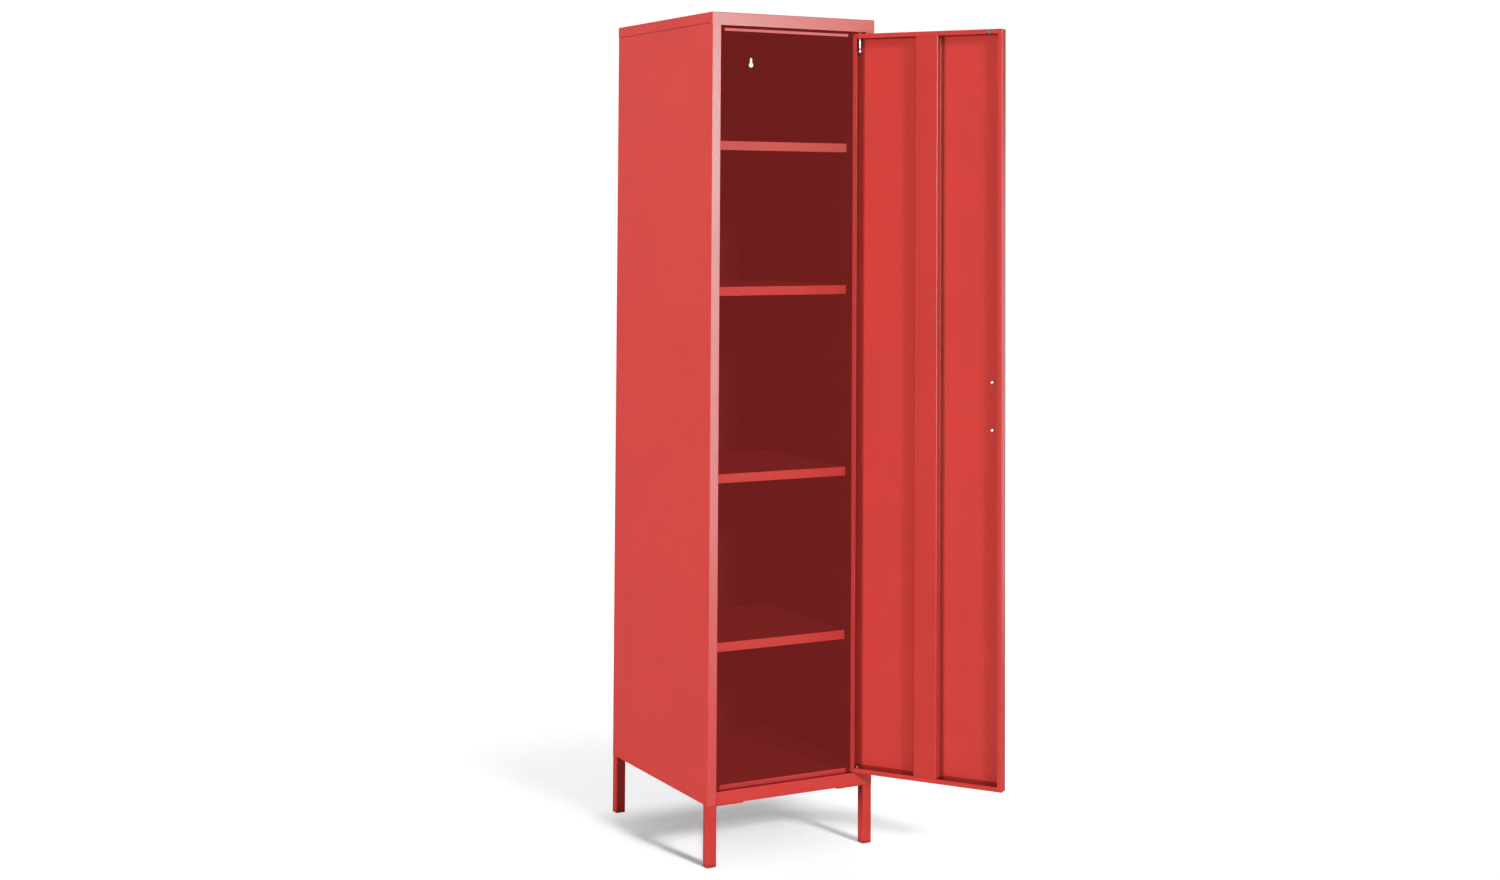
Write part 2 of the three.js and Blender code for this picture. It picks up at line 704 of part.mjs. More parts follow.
// ---- top hinge pin: slides down out of the header bush ----
{
  // [radius, z]
  const profile = [
    [0, 1629.4], [1.6, 1629.9], [2.7, 1631.2], [3.2, 1633.2],
    [2.9, 1635.4], [1.9, 1637.0], [1.5, 1637.8], [1.6, 1638.8],
    [2.3, 1640.2], [2.3, 1676.6], [1.6, 1678], [0, 1678],
  ];
  addDoor("hinge_pin_top", turned(PIVOT_X, PIVOT_Y, profile), zinc());
}

export default locker;
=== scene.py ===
"""School locker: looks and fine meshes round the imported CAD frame. Metres, +Z up, the front faces -Y."""

import json
import math

import bmesh
import bpy
from mathutils import Matrix, Vector


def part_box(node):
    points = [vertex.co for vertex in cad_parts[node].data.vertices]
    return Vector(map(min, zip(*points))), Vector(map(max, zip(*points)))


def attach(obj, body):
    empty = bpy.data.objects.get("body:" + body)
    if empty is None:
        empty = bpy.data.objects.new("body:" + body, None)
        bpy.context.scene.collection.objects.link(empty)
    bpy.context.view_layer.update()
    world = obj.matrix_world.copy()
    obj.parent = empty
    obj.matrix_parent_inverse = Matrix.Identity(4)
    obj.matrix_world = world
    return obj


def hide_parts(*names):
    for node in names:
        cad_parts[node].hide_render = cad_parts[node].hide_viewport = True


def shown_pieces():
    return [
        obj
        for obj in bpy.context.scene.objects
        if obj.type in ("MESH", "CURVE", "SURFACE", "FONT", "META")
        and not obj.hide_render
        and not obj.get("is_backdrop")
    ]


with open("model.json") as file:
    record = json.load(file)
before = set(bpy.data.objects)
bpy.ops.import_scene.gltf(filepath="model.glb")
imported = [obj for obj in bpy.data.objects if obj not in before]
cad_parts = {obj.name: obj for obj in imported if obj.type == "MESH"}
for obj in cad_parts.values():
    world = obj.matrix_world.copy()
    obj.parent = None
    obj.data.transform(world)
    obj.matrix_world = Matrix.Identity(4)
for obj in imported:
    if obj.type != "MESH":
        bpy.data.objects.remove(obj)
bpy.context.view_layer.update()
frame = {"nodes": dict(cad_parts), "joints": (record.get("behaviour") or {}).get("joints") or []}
nodes = frame["nodes"]
scene = bpy.context.scene

# ---------------------------------------------------------------- frame places
cap_lo, cap_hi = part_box("top_cap")
CX, CY = (cap_lo.x + cap_hi.x) / 2, (cap_lo.y + cap_hi.y) / 2  # plan centre
H = cap_hi.z
F = cap_lo.y  # front plane
B = cap_hi.y
pin_lo, pin_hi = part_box("hinge_pin_top")
AXIS = Vector(((pin_lo.x + pin_hi.x) / 2, (pin_lo.y + pin_hi.y) / 2, 0))
hinge = [j for j in frame["joints"] if j["name"] == "door_hinge"][0]
OPEN = -min(hinge["range_deg"])
MM = 0.001


# ---------------------------------------------------------------- node helpers
def new_material(name):
    m = bpy.data.materials.new(name)
    m.use_nodes = True
    m.node_tree.nodes.clear()
    m.cycles.emission_sampling = "NONE"  # painted glow is only seen, it lights nothing by itself
    return m


class Nodes:
    """Small helper for building a node tree."""

    def __init__(self, tree):
        self.t = tree

    def add(self, kind, **values):
        n = self.t.nodes.new(kind)
        inputs = values.pop("inputs", {})
        for k, v in values.items():
            setattr(n, k, v)
        for k, v in inputs.items():
            self.put(n.inputs[k], v)
        return n

    def put(self, socket, v):
        if isinstance(v, bpy.types.NodeSocket):
            self.t.links.new(v, socket)
        else:
            socket.default_value = v

    def math(self, op, a, b=None, c=None, clamp=False):
        n = self.t.nodes.new("ShaderNodeMath")
        n.operation = op
        n.use_clamp = clamp
        for i, v in enumerate((a, b, c)):
            if v is not None:
                self.put(n.inputs[i], v)
        return n.outputs[0]

    def ramp(self, v, lo, hi, out_lo=0.0, out_hi=1.0, smooth=True):
        n = self.t.nodes.new("ShaderNodeMapRange")
        n.interpolation_type = "SMOOTHSTEP" if smooth else "LINEAR"
        n.clamp = True
        for i, x in enumerate((v, lo, hi, out_lo, out_hi)):
            self.put(n.inputs[i], x)
        return n.outputs[0]

    def mix(self, f, a, b):
        n = self.t.nodes.new("ShaderNodeMix")
        n.data_type = "RGBA"
        self.put(n.inputs[0], f)
        self.put(n.inputs[6], a)
        self.put(n.inputs[7], b)
        return n.outputs[2]

    def scale(self, colour, k):
        n = self.t.nodes.new("ShaderNodeVectorMath")
        n.operation = "SCALE"
        self.put(n.inputs[0], colour if isinstance(colour, bpy.types.NodeSocket) else tuple(colour)[:3])
        self.put(n.inputs[3], k)
        return n.outputs[0]


# ---------------------------------------------------------------- materials
RED = (0.760, 0.054, 0.045, 1)
# MAROON is the painted shade colour of the cabinet's inside
MAROON = (0.15, 0.0137, 0.0124)


def powder_coat(name, base, rough=0.36, inside_from=None, peel=1.0, under=False, shade=0.42, painted_shade_lines=False, glow=0.0, near=0.013, spec=0.5, tray=False, lift=None):
    """Powder-coated steel: fine orange peel, faint cloudiness, painted shade in recesses and where the sheet lies
    inside the cabinet, and optional painted shade lines, bands and glow.
    """
    m = new_material(name)
    n = Nodes(m.node_tree)
    geo = n.add("ShaderNodeNewGeometry")
    co = n.add("ShaderNodeTexCoord").outputs["Object"]
    cloud = n.add("ShaderNodeTexNoise", inputs={"Vector": co, "Scale": 5.0, "Detail": 3.0, "Roughness": 0.6})
    fine = n.add("ShaderNodeTexNoise", inputs={"Vector": co, "Scale": 900.0, "Detail": 2.0, "Roughness": 0.55})
    coarse = n.add("ShaderNodeTexNoise", inputs={"Vector": co, "Scale": 260.0, "Detail": 2.0, "Roughness": 0.5})
    speck = n.add("ShaderNodeTexNoise", inputs={"Vector": co, "Scale": 2600.0, "Detail": 1.0})
    tone = n.ramp(cloud.outputs[0], 0.3, 0.7, 0.975, 1.025)
    tone = n.math("MULTIPLY", tone, n.ramp(speck.outputs[0], 0.3, 0.7, 0.985, 1.015))
    # painted shade: the colour darkens towards 'shade' where ambient occlusion finds other surfaces within 'near', in
    # creases and recesses
    close = n.add("ShaderNodeAmbientOcclusion", samples=8, inputs={"Distance": near})
    colour = n.scale(base, n.math("MULTIPLY", tone, n.ramp(close.outputs["AO"], 0.15, 0.92, shade, 1.0, smooth=False)))
    if painted_shade_lines:
        # painted shadow line under the cap's side flanges
        place = n.add("ShaderNodeSeparateXYZ", inputs={0: geo.outputs["Position"]})
        outer = n.math("GREATER_THAN", n.math("ABSOLUTE", n.math("SUBTRACT", place.outputs[0], CX)), (cap_hi.x - cap_lo.x) / 2 - 1.0 * MM)
        behind = n.ramp(place.outputs[1], F + 6.5 * MM, F + 7.5 * MM)
        z = place.outputs[2]
        band = n.math("MULTIPLY", n.ramp(z, H - 23.6 * MM, H - 22.6 * MM), n.math("LESS_THAN", z, H - 21.5 * MM))
        colour = n.scale(colour, n.math("SUBTRACT", 1.0, n.math("MULTIPLY", n.math("MULTIPLY", outer, behind), n.math("MULTIPLY", band, 0.45))))
        # the sill's ledge lies in the shade of the stop strip behind it
        ledge = n.math("LESS_THAN", n.math("ABSOLUTE", n.math("SUBTRACT", z, FLOOR_TOP)), 0.0007)
        ledge = n.math("MULTIPLY", ledge, n.math("LESS_THAN", place.outputs[1], F + 21.2 * MM))
        ledge = n.math("MULTIPLY", ledge, n.math("GREATER_THAN", place.outputs[1], F + 2.2 * MM))
        ledge = n.math("MULTIPLY", ledge, n.math("LESS_THAN", n.math("ABSOLUTE", n.math("SUBTRACT", place.outputs[0], CX)), WALL_MID - 1.0 * MM))
        # and the header's stop strip in that of the cap, but for its lower edge
        head = n.math("MULTIPLY", n.math("GREATER_THAN", z, HEAD_LIGHT), n.math("LESS_THAN", z, H - 20.0 * MM))
        head = n.math("MULTIPLY", head, n.math("GREATER_THAN", place.outputs[1], F + 18.0 * MM))
        head = n.math("MULTIPLY", head, n.math("LESS_THAN", place.outputs[1], F + 22.3 * MM))
        head = n.math("MULTIPLY", head, n.math("LESS_THAN", n.math("ABSOLUTE", n.math("SUBTRACT", place.outputs[0], CX)), WALL_MID - 1.0 * MM))
        colour = n.scale(colour, n.math("SUBTRACT", 1.0, n.math("MAXIMUM", n.math("MULTIPLY", ledge, 0.55), n.math("MULTIPLY", head, 0.35))))
    if tray:
        # painted shade in the corner that runs along the door's hinge wall, its bottom wall and the foot of the rib,
        # and lighter painted shade under its top wall and on the hinge lip
        coords = n.add("ShaderNodeTexCoord")
        rel = n.add("ShaderNodeVectorMath", operation="SUBTRACT", inputs={0: coords.outputs["Object"], 1: tuple(AXIS)})
        u = n.add("ShaderNodeVectorMath", operation="DOT_PRODUCT", inputs={0: rel.outputs[0], 1: tuple(ALONG)}).outputs["Value"]
        deep = n.add("ShaderNodeVectorMath", operation="DOT_PRODUCT", inputs={0: rel.outputs[0], 1: tuple(INWARD)}).outputs["Value"]
        facing = n.add("ShaderNodeVectorMath", operation="DOT_PRODUCT", inputs={0: coords.outputs["Normal"], 1: tuple(INWARD)}).outputs["Value"]
        tall = n.add("ShaderNodeSeparateXYZ", inputs={0: rel.outputs[0]}).outputs[2]
        spec = n.math("SUBTRACT", spec, n.math("MULTIPLY", n.ramp(facing, -0.8, -0.4, 1.0, 0.0), spec * 0.72))
        floor_of = n.math("MULTIPLY", n.math("GREATER_THAN", facing, 0.5), n.math("LESS_THAN", deep, -2.0 * MM))
        wall = n.ramp(u, 5.8 * MM, 7.4 * MM, 1.0, 0.0)
        low = n.ramp(tall, DOOR_LOW + 13.4 * MM, DOOR_LOW + 14.4 * MM, 1.0, 0.0)
        foot = n.math("MULTIPLY", n.math("GREATER_THAN", u, RIB_AT - 0.5 * MM), n.ramp(u, RIB_AT + 5.0 * MM, RIB_AT + 9.0 * MM, 1.0, 0.0))
        high = n.math("MULTIPLY", n.math("GREATER_THAN", tall, DOOR_HIGH - 11.2 * MM), n.math("LESS_THAN", deep, -4.0 * MM))
        corner = n.math("MAXIMUM", n.math("MULTIPLY", wall, 0.28), n.math("MAXIMUM", n.math("MULTIPLY", low, 0.50), n.math("MULTIPLY", foot, 0.26)))
        corner = n.math("MAXIMUM", corner, n.math("MULTIPLY", high, 0.16))
        lip = n.math("MULTIPLY", n.math("GREATER_THAN", deep, 12.0 * MM), n.math("LESS_THAN", u, 0.3 * MM))
        lip = n.math("MULTIPLY", lip, n.math("GREATER_THAN", facing, 0.5))
        colour = n.scale(colour, n.math("SUBTRACT", 1.0, n.math("MAXIMUM", n.math("MULTIPLY", floor_of, corner), n.math("MULTIPLY", lip, 0.2))))
    if under:
        # faces of the legs that look in under the cabinet lie in its shade
        face = n.add("ShaderNodeSeparateXYZ", inputs={0: geo.outputs["Normal"]})
        place = n.add("ShaderNodeSeparateXYZ", inputs={0: geo.outputs["Position"]})
        ix = n.math("MULTIPLY", face.outputs[0], n.math("SIGN", n.math("SUBTRACT", CX, place.outputs[0])))
        iy = n.math("MULTIPLY", face.outputs[1], n.math("SIGN", n.math("SUBTRACT", CY, place.outputs[1])))
        rear = n.math("GREATER_THAN", place.outputs[1], CY)
        shade_x = n.math("MULTIPLY", n.ramp(ix, 0.5, 0.8), n.ramp(place.outputs[2], 0.03, 0.12, 0.05, 0.5))
        shade_y = n.math("MULTIPLY", n.math("MULTIPLY", n.ramp(iy, 0.5, 0.8), rear), 0.36)
        colour = n.scale(colour, n.math("SUBTRACT", 1.0, n.math("MAXIMUM", shade_x, shade_y)))
        spec = n.math("SUBTRACT", spec, n.math("MULTIPLY", n.math("MULTIPLY", rear, n.ramp(ix, -0.8, -0.5, 1.0, 0.0)), spec * 0.85))
    r = n.ramp(coarse.outputs[0], 0.3, 0.7, rough - 0.03, rough + 0.03)
    height = n.math("ADD", n.math("MULTIPLY", fine.outputs[0], 0.6), n.math("MULTIPLY", coarse.outputs[0], 0.9))
    bump = n.add("ShaderNodeBump", inputs={"Height": height, "Strength": 0.35 * peel, "Distance": 0.00006})
    if painted_shade_lines:
        # the top, the hinge side and the back get less specular than the faces that look forward, so the front sheen
        # lights reflect mostly on those
        way = n.add("ShaderNodeSeparateXYZ", inputs={0: geo.outputs["Normal"]})
        dull = n.math("MAXIMUM", n.ramp(way.outputs[0], 0.4, 0.8), n.math("MAXIMUM", n.ramp(way.outputs[2], 0.9, 0.99), n.ramp(way.outputs[1], 0.4, 0.8)))
        spec = n.math("SUBTRACT", spec, n.math("MULTIPLY", dull, spec * 0.75))
    shine, power = colour, glow
    if lift is not None:
        # painted light: a glow on a forward-facing strip, so it looks a little lighter than its neighbours
        z0, z1, y0, y1, extra = lift
        at = n.add("ShaderNodeSeparateXYZ", inputs={0: geo.outputs["Position"]})
        faces = n.add("ShaderNodeSeparateXYZ", inputs={0: geo.outputs["Normal"]})
        on = n.math("MULTIPLY", n.math("GREATER_THAN", at.outputs[2], z0), n.math("LESS_THAN", at.outputs[2], z1))
        on = n.math("MULTIPLY", on, n.math("MULTIPLY", n.math("GREATER_THAN", at.outputs[1], y0), n.math("LESS_THAN", at.outputs[1], y1)))
        on = n.math("MULTIPLY", on, n.math("LESS_THAN", faces.outputs[1], -0.5))
        more = n.scale(extra, on)
        shine = n.add("ShaderNodeVectorMath", operation="ADD", inputs={0: n.scale(colour, glow), 1: more}).outputs[0]
        power = 1.0
    shader = n.add(
        "ShaderNodeBsdfPrincipled",
        inputs={"Base Color": colour, "Roughness": r, "Normal": bump.outputs[0], "IOR": 1.45, "Specular IOR Level": spec, "Emission Color": shine, "Emission Strength": power},
    )
    out_shader = shader.outputs[0]
    if inside_from is not None:
        # painted shade inside the cabinet: the lining sheets get a dim maroon and a fixed maroon glow, a little lighter
        # where they face up, in place of what they reflect of each other
        p = n.add("ShaderNodeSeparateXYZ", inputs={0: geo.outputs["Position"]})
        x, y, z = p.outputs
        side = n.math("LESS_THAN", n.math("ABSOLUTE", n.math("SUBTRACT", x, CX)), WALL_MID)
        back = n.math("LESS_THAN", y, B - 1.25 * MM)
        low = n.math("GREATER_THAN", z, FLOOR_TOP - 0.4 * MM)
        high = n.math("LESS_THAN", z, H - 0.4 * MM)
        near = n.ramp(y, F + inside_from[0], F + inside_from[1])
        mask = n.math("MULTIPLY", n.math("MULTIPLY", side, back), n.math("MULTIPLY", low, n.math("MULTIPLY", high, near)))
        lean = n.add("ShaderNodeSeparateXYZ", inputs={0: geo.outputs["Normal"]})
        level = n.math("ADD", 0.93, n.math("MULTIPLY", lean.outputs[2], 0.055))
        level = n.math("SUBTRACT", level, n.math("MULTIPLY", n.math("ABSOLUTE", lean.outputs[1]), 0.02))
        dim = n.add(
            "ShaderNodeBsdfPrincipled",
            inputs={
                "Base Color": n.scale(MAROON, n.math("MULTIPLY", tone, 0.5)),
                "Roughness": 0.6,
                "Normal": bump.outputs[0],
                "Specular IOR Level": 0.03,
                "Emission Color": (*MAROON, 1),
                "Emission Strength": level,
            },
        )
        blend = n.add("ShaderNodeMixShader", inputs={0: mask, 1: out_shader, 2: dim.outputs[0]})
        out_shader = blend.outputs[0]
    # light that the paint throws on the white floor is kept neutral, as a white-balanced studio picture shows it
    rays = n.add("ShaderNodeLightPath")
    along = n.add("ShaderNodeSeparateXYZ", inputs={0: geo.outputs["Incoming"]}).outputs[2]
    here = n.add("ShaderNodeSeparateXYZ", inputs={0: geo.outputs["Position"]}).outputs[2]
    start = n.math("ADD", here, n.math("MULTIPLY", along, rays.outputs["Ray Length"]))
    from_floor = n.math("MULTIPLY", n.math("LESS_THAN", start, 0.0012), rays.outputs["Is Diffuse Ray"])
    grey = n.add("ShaderNodeBsdfDiffuse", inputs={"Color": (0.16, 0.16, 0.16, 1)})
    neutral = n.add("ShaderNodeMixShader", inputs={0: from_floor, 1: out_shader, 2: grey.outputs[0]})
    out = n.add("ShaderNodeOutputMaterial")
    n.put(out.inputs[0], neutral.outputs[0])
    return m


WALL_MID = (cap_hi.x - cap_lo.x) / 2 - 1.26 * MM  # half way through a side wall
FLOOR_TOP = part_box("floor_panel")[1].z
turn = math.radians(OPEN)
ALONG = Vector((-math.cos(turn), -math.sin(turn), 0))  # from the hinge to the door's free edge, as it stands open
INWARD = Vector((-math.sin(turn), math.cos(turn), 0))  # out of the door's inner face
DOOR_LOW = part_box("door_skin")[0].z
DOOR_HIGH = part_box("door_skin")[1].z
head_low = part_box("header_rail")[0].z
HEAD_LIGHT = head_low + 5.4 * MM
sill_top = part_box("bottom_rail_front")[1].z
rib = [ALONG.dot(Vector(v) - AXIS) for v in ((p.x, p.y, 0) for p in [nodes["door_stiffener"].matrix_world @ v.co for v in nodes["door_stiffener"].data.vertices])]
RIB_AT = max(rib) - 9.0 * MM  # foot of the rib's wall on the free-edge side
shelf_front = min(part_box("shelf_1")[0].y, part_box("shelf_2")[0].y)

# one red paint throughout: the shelves, legs, door and rib use darker copies of it as painted shade, set to how lit
# each looks; header, sill and top shelf get painted light strips and the shelves a painted glow
outside_paint = powder_coat("outside_paint", RED, inside_from=(0.0225, 0.05), painted_shade_lines=True)
header_paint = powder_coat("header_paint", RED, inside_from=(0.0225, 0.05), painted_shade_lines=True, lift=(head_low - 1 * MM, HEAD_LIGHT, F + 19 * MM, F + 22.4 * MM, (0.42, 0.17, 0.17)))
sill_paint = powder_coat("sill_paint", RED, inside_from=(0.0225, 0.05), painted_shade_lines=True, lift=(FLOOR_TOP + 1.0 * MM, sill_top + 1 * MM, F + 19 * MM, F + 22.4 * MM, (0.05, 0.015, 0.015)))
shelf_paint = powder_coat("inside_paint", (0.59, 0.050, 0.043, 1), shade=0.9, glow=0.28, lift=(1.42, 1.45, shelf_front - 0.001, shelf_front + 0.0022, (0.0, 0.040, 0.034)), inside_from=(shelf_front - F + 0.0012, shelf_front - F + 0.0022))
leg_paint = powder_coat("leg_paint", (0.69, 0.050, 0.042, 1), under=True, spec=0.3)
door_paint = powder_coat("door_paint", (0.665, 0.047, 0.037, 1), tray=True)
rib_paint = powder_coat("door_rib_paint", (0.62, 0.041, 0.033, 1), tray=True, shade=0.85)


def zinc_plate(name, base=(0.82, 0.80, 0.77, 1), rough=0.24):
    """Bright zinc plate: fine drawn lines along the piece, faint blotches."""
    m = new_material(name)
    n = Nodes(m.node_tree)
    co = n.add("ShaderNodeTexCoord").outputs["Object"]
    squeeze = n.add("ShaderNodeMapping", inputs={"Vector": co, "Scale": (1.0, 1.0, 0.06)})
    lines = n.add("ShaderNodeTexNoise", inputs={"Vector": squeeze.outputs[0], "Scale": 2400.0, "Detail": 3.0})
    blot = n.add("ShaderNodeTexNoise", inputs={"Vector": co, "Scale": 320.0, "Detail": 3.0})
    colour = n.scale(base, n.ramp(blot.outputs[0], 0.3, 0.7, 0.94, 1.04))
    r = n.ramp(lines.outputs[0], 0.25, 0.75, rough - 0.06, rough + 0.1)
    bump = n.add("ShaderNodeBump", inputs={"Height": lines.outputs[0], "Strength": 0.25, "Distance": 0.00002})
    s = n.add("ShaderNodeBsdfPrincipled", inputs={"Base Color": colour, "Metallic": 1.0, "Roughness": r, "Normal": bump.outputs[0]})
    out = n.add("ShaderNodeOutputMaterial")
    n.put(out.inputs[0], s.outputs[0])
    return m


def moulded(name, base, rough, grain=1.0):
    """Moulded plastic: fine spark-eroded grain."""
    m = new_material(name)
    n = Nodes(m.node_tree)
    co = n.add("ShaderNodeTexCoord").outputs["Object"]
    grains = n.add("ShaderNodeTexNoise", inputs={"Vector": co, "Scale": 1800.0, "Detail": 3.0, "Roughness": 0.6})
    tone = n.add("ShaderNodeTexNoise", inputs={"Vector": co, "Scale": 90.0, "Detail": 2.0})
    colour = n.scale(base, n.ramp(tone.outputs[0], 0.3, 0.7, 0.96, 1.04))
    bump = n.add("ShaderNodeBump", inputs={"Height": grains.outputs[0], "Strength": 0.4 * grain, "Distance": 0.00004})
    s = n.add(
        "ShaderNodeBsdfPrincipled",
        inputs={"Base Color": colour, "Roughness": n.ramp(grains.outputs[0], 0.3, 0.7, rough - 0.05, rough + 0.07), "Normal": bump.outputs[0]},
    )
    out = n.add("ShaderNodeOutputMaterial")
    n.put(out.inputs[0], s.outputs[0])
    return m


zinc = zinc_plate("zinc")
# a darker, rougher zinc, used on the catch disc
darker_zinc = zinc_plate("darker_zinc", base=(0.60, 0.53, 0.48, 1), rough=0.42)
nylon = moulded("nylon", (0.46, 0.040, 0.034, 1), 0.5)
plug = moulded("foot_plug", (0.30, 0.03, 0.025, 1), 0.6)


# ---------------------------------------------------------------- smoothing of the CAD nodes
def smoothing_group():
    g = bpy.data.node_groups.new("smooth_by_angle", "GeometryNodeTree")
    g.interface.new_socket(name="Geometry", in_out="INPUT", socket_type="NodeSocketGeometry")
    g.interface.new_socket(name="Geometry", in_out="OUTPUT", socket_type="NodeSocketGeometry")
    a = g.nodes.new("NodeGroupInput")
    z = g.nodes.new("NodeGroupOutput")
    merge = g.nodes.new("GeometryNodeMergeByDistance")
    merge.inputs["Distance"].default_value = 2e-6
    faces = g.nodes.new("GeometryNodeSetShadeSmooth")
    faces.domain = "FACE"
    edges = g.nodes.new("GeometryNodeSetShadeSmooth")
    edges.domain = "EDGE"
    angle = g.nodes.new("GeometryNodeInputMeshEdgeAngle")
    sharp = g.nodes.new("FunctionNodeCompare")
    sharp.data_type = "FLOAT"
    sharp.operation = "GREATER_THAN"
    sharp.inputs[1].default_value = math.radians(33)
    link = g.links.new
    link(a.outputs[0], merge.inputs["Geometry"])
    link(merge.outputs[0], faces.inputs["Geometry"])
    link(faces.outputs[0], edges.inputs["Geometry"])
    link(angle.outputs["Unsigned Angle"], sharp.inputs[0])
    link(sharp.outputs[0], edges.inputs["Selection"])
    edges.inputs["Shade Smooth"].default_value = False
    faces.inputs["Shade Smooth"].default_value = True
    link(edges.outputs[0], z.inputs[0])
    return g


SMOOTH = smoothing_group()


def material_for(name):
    if name.startswith(("door_skin", "door_stiffener")):
        return door_paint
    if name.startswith(("shelf_1", "shelf_2", "shelf_3", "shelf_4")):
        return shelf_paint
    if name.startswith(("hinge_bush", "hinge_washer")):
        return nylon
    if name.startswith("foot_"):
        return plug
    if name.startswith(("leg_front", "leg_rear")):
        return leg_paint
    if name.startswith(("hinge_pin", "door_handle", "handle_screw", "catch_magnet", "leg_bolt")):
        return zinc
    return outside_paint


for name, o in nodes.items():
    o.data.materials.clear()
    o.data.materials.append(material_for(name))
    mod = o.modifiers.new("smooth", "NODES")
    mod.node_group = SMOOTH


# ---------------------------------------------------------------- fine meshes
# Drawn in millimetres about the plan centre, as the frame is, then set down on the frame's own boxes.
T = 0.8
GAP = 0.06
HALF_W = (cap_hi.x - cap_lo.x) / 2 / MM
HALF_D = (cap_hi.y - cap_lo.y) / 2 / MM
DROP = (cap_hi.z - cap_lo.z) / MM  # height of the cap's front flange
TOP = H / MM
FY, BY = -HALF_D, HALF_D
XO = HALF_W - T - GAP
XI = XO - T


def plan_box(node):
    """Corners of a cabinet node in the drawing's millimetres."""
    lo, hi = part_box(node)
    return (
        Vector(((lo.x - CX) / MM, (lo.y - CY) / MM, lo.z / MM)),
        Vector(((hi.x - CX) / MM, (hi.y - CY) / MM, hi.z / MM)),
    )


def round_corner(a, v, c, r, steps=8):
    ua, uc = Vector(a) - Vector(v), Vector(c) - Vector(v)
    if r <= 0.01:
        return [tuple(v)]
    ua.normalize()
    uc.normalize()
    ang = math.acos(max(-1.0, min(1.0, ua.dot(uc))))
    if ang > math.pi - 1e-3:
        return [tuple(v)]
    cut = r / math.tan(ang / 2)
    s, e = Vector(v) + ua * cut, Vector(v) + uc * cut
    m = (ua + uc).normalized()
    o = Vector(v) + m * (r / math.sin(ang / 2))
    a0 = math.atan2(s.y - o.y, s.x - o.x)
    da = math.atan2(e.y - o.y, e.x - o.x) - a0
    while da > math.pi:
        da -= 2 * math.pi
    while da < -math.pi:
        da += 2 * math.pi
    return [(o.x + r * math.cos(a0 + da * i / steps), o.y + r * math.sin(a0 + da * i / steps)) for i in range(steps + 1)]


def rounded(points, radii, steps=8):
    """Closed ring with each corner rounded by its own radius, running counter-clockwise."""
    n = len(points)
    if not isinstance(radii, (list, tuple)):
        radii = [radii] * n
    out = []
    for i, p in enumerate(points):
        out += round_corner(points[i - 1], p, points[(i + 1) % n], radii[i], steps)
    area = sum(out[i - 1][0] * q[1] - out[i - 1][1] * q[0] for i, q in enumerate(out))
    return out if area > 0 else out[::-1]


def folded(line, side, ri, edge=0.34, steps=8):
    """Section of a folded sheet: bends with inside radius ri, and rounded cut edges."""
    n = len(line)
    ds = [(Vector(line[i + 1]) - Vector(line[i])).normalized() for i in range(n - 1)]
    nor = [Vector((-d.y * side, d.x * side)) for d in ds]
    far = []
    for i, p in enumerate(line):
        if i == 0:
            q = Vector(p) + nor[0] * T
        elif i == n - 1:
            q = Vector(p) + nor[-1] * T
        else:
            m = nor[i - 1] + nor[i]
            q = Vector(p) + m * (2 * T / m.length_squared)
        far.append((q.x, q.y))
    one, two = [edge], [edge]
    for i in range(1, n - 1):
        turn = ds[i - 1].x * ds[i].y - ds[i - 1].y * ds[i].x
        r = ri[i - 1] if isinstance(ri, (list, tuple)) else ri
        inside = turn * side > 0
        one.append(r + T if inside else r)
        two.append(r if inside else r + T)
    one.append(edge)
    two.append(edge)
    return rounded([tuple(p) for p in line] + far[::-1], one + two[::-1], steps)


def inset(ring, d):
    """The ring moved inwards by d, along each corner's own normal."""
    out = []
    n = len(ring)
    for i in range(n):
        p, a, c = Vector(ring[i]), Vector(ring[i - 1]), Vector(ring[(i + 1) % n])
        e0, e1 = (p - a), (c - p)
        e0.normalize()
        e1.normalize()
        n0, n1 = Vector((-e0.y, e0.x)), Vector((-e1.y, e1.x))
        m = n0 + n1
        k = 2 * d / max(m.length_squared, 0.4)
        out.append((p.x + m.x * k, p.y + m.y * k))
    return out


def place(u, v, w, along):
    return {"z": (u, v, w), "x": (w, u, v), "y": (v, w, u)}[along]


def loft(rings, along):
    """Closed body through rings of equal length; rings are (points, level), levels rising."""
    bm = bmesh.new()
    rows = [[bm.verts.new(place(u, v, w, along)) for u, v in pts] for pts, w in rings]
    n = len(rows[0])
    for a, b in zip(rows, rows[1:]):
        for i in range(n):
            j = (i + 1) % n
            bm.faces.new((a[i], a[j], b[j], b[i]))
    bm.faces.new(rows[0][::-1])
    bm.faces.new(rows[-1])
    bm.normal_update()
    return bm


def prism(ring, along, a, b, soft=0.2):
    """Straight sweep of a ring from a to b with softened ends. 'x' rings are (y, z), 'y' rings are (z, x), 'z' rings are (x, y)."""
    area = sum(ring[i - 1][0] * q[1] - ring[i - 1][1] * q[0] for i, q in enumerate(ring))
    if area < 0:
        ring = ring[::-1]
    if soft <= 0:
        return loft([(ring, a), (ring, b)], along)
    i1, i2 = inset(ring, soft), inset(ring, soft * 0.29)
    return loft([(i1, a), (i2, a + soft * 0.29), (ring, a + soft), (ring, b - soft), (i2, b - soft * 0.29), (i1, b)], along)


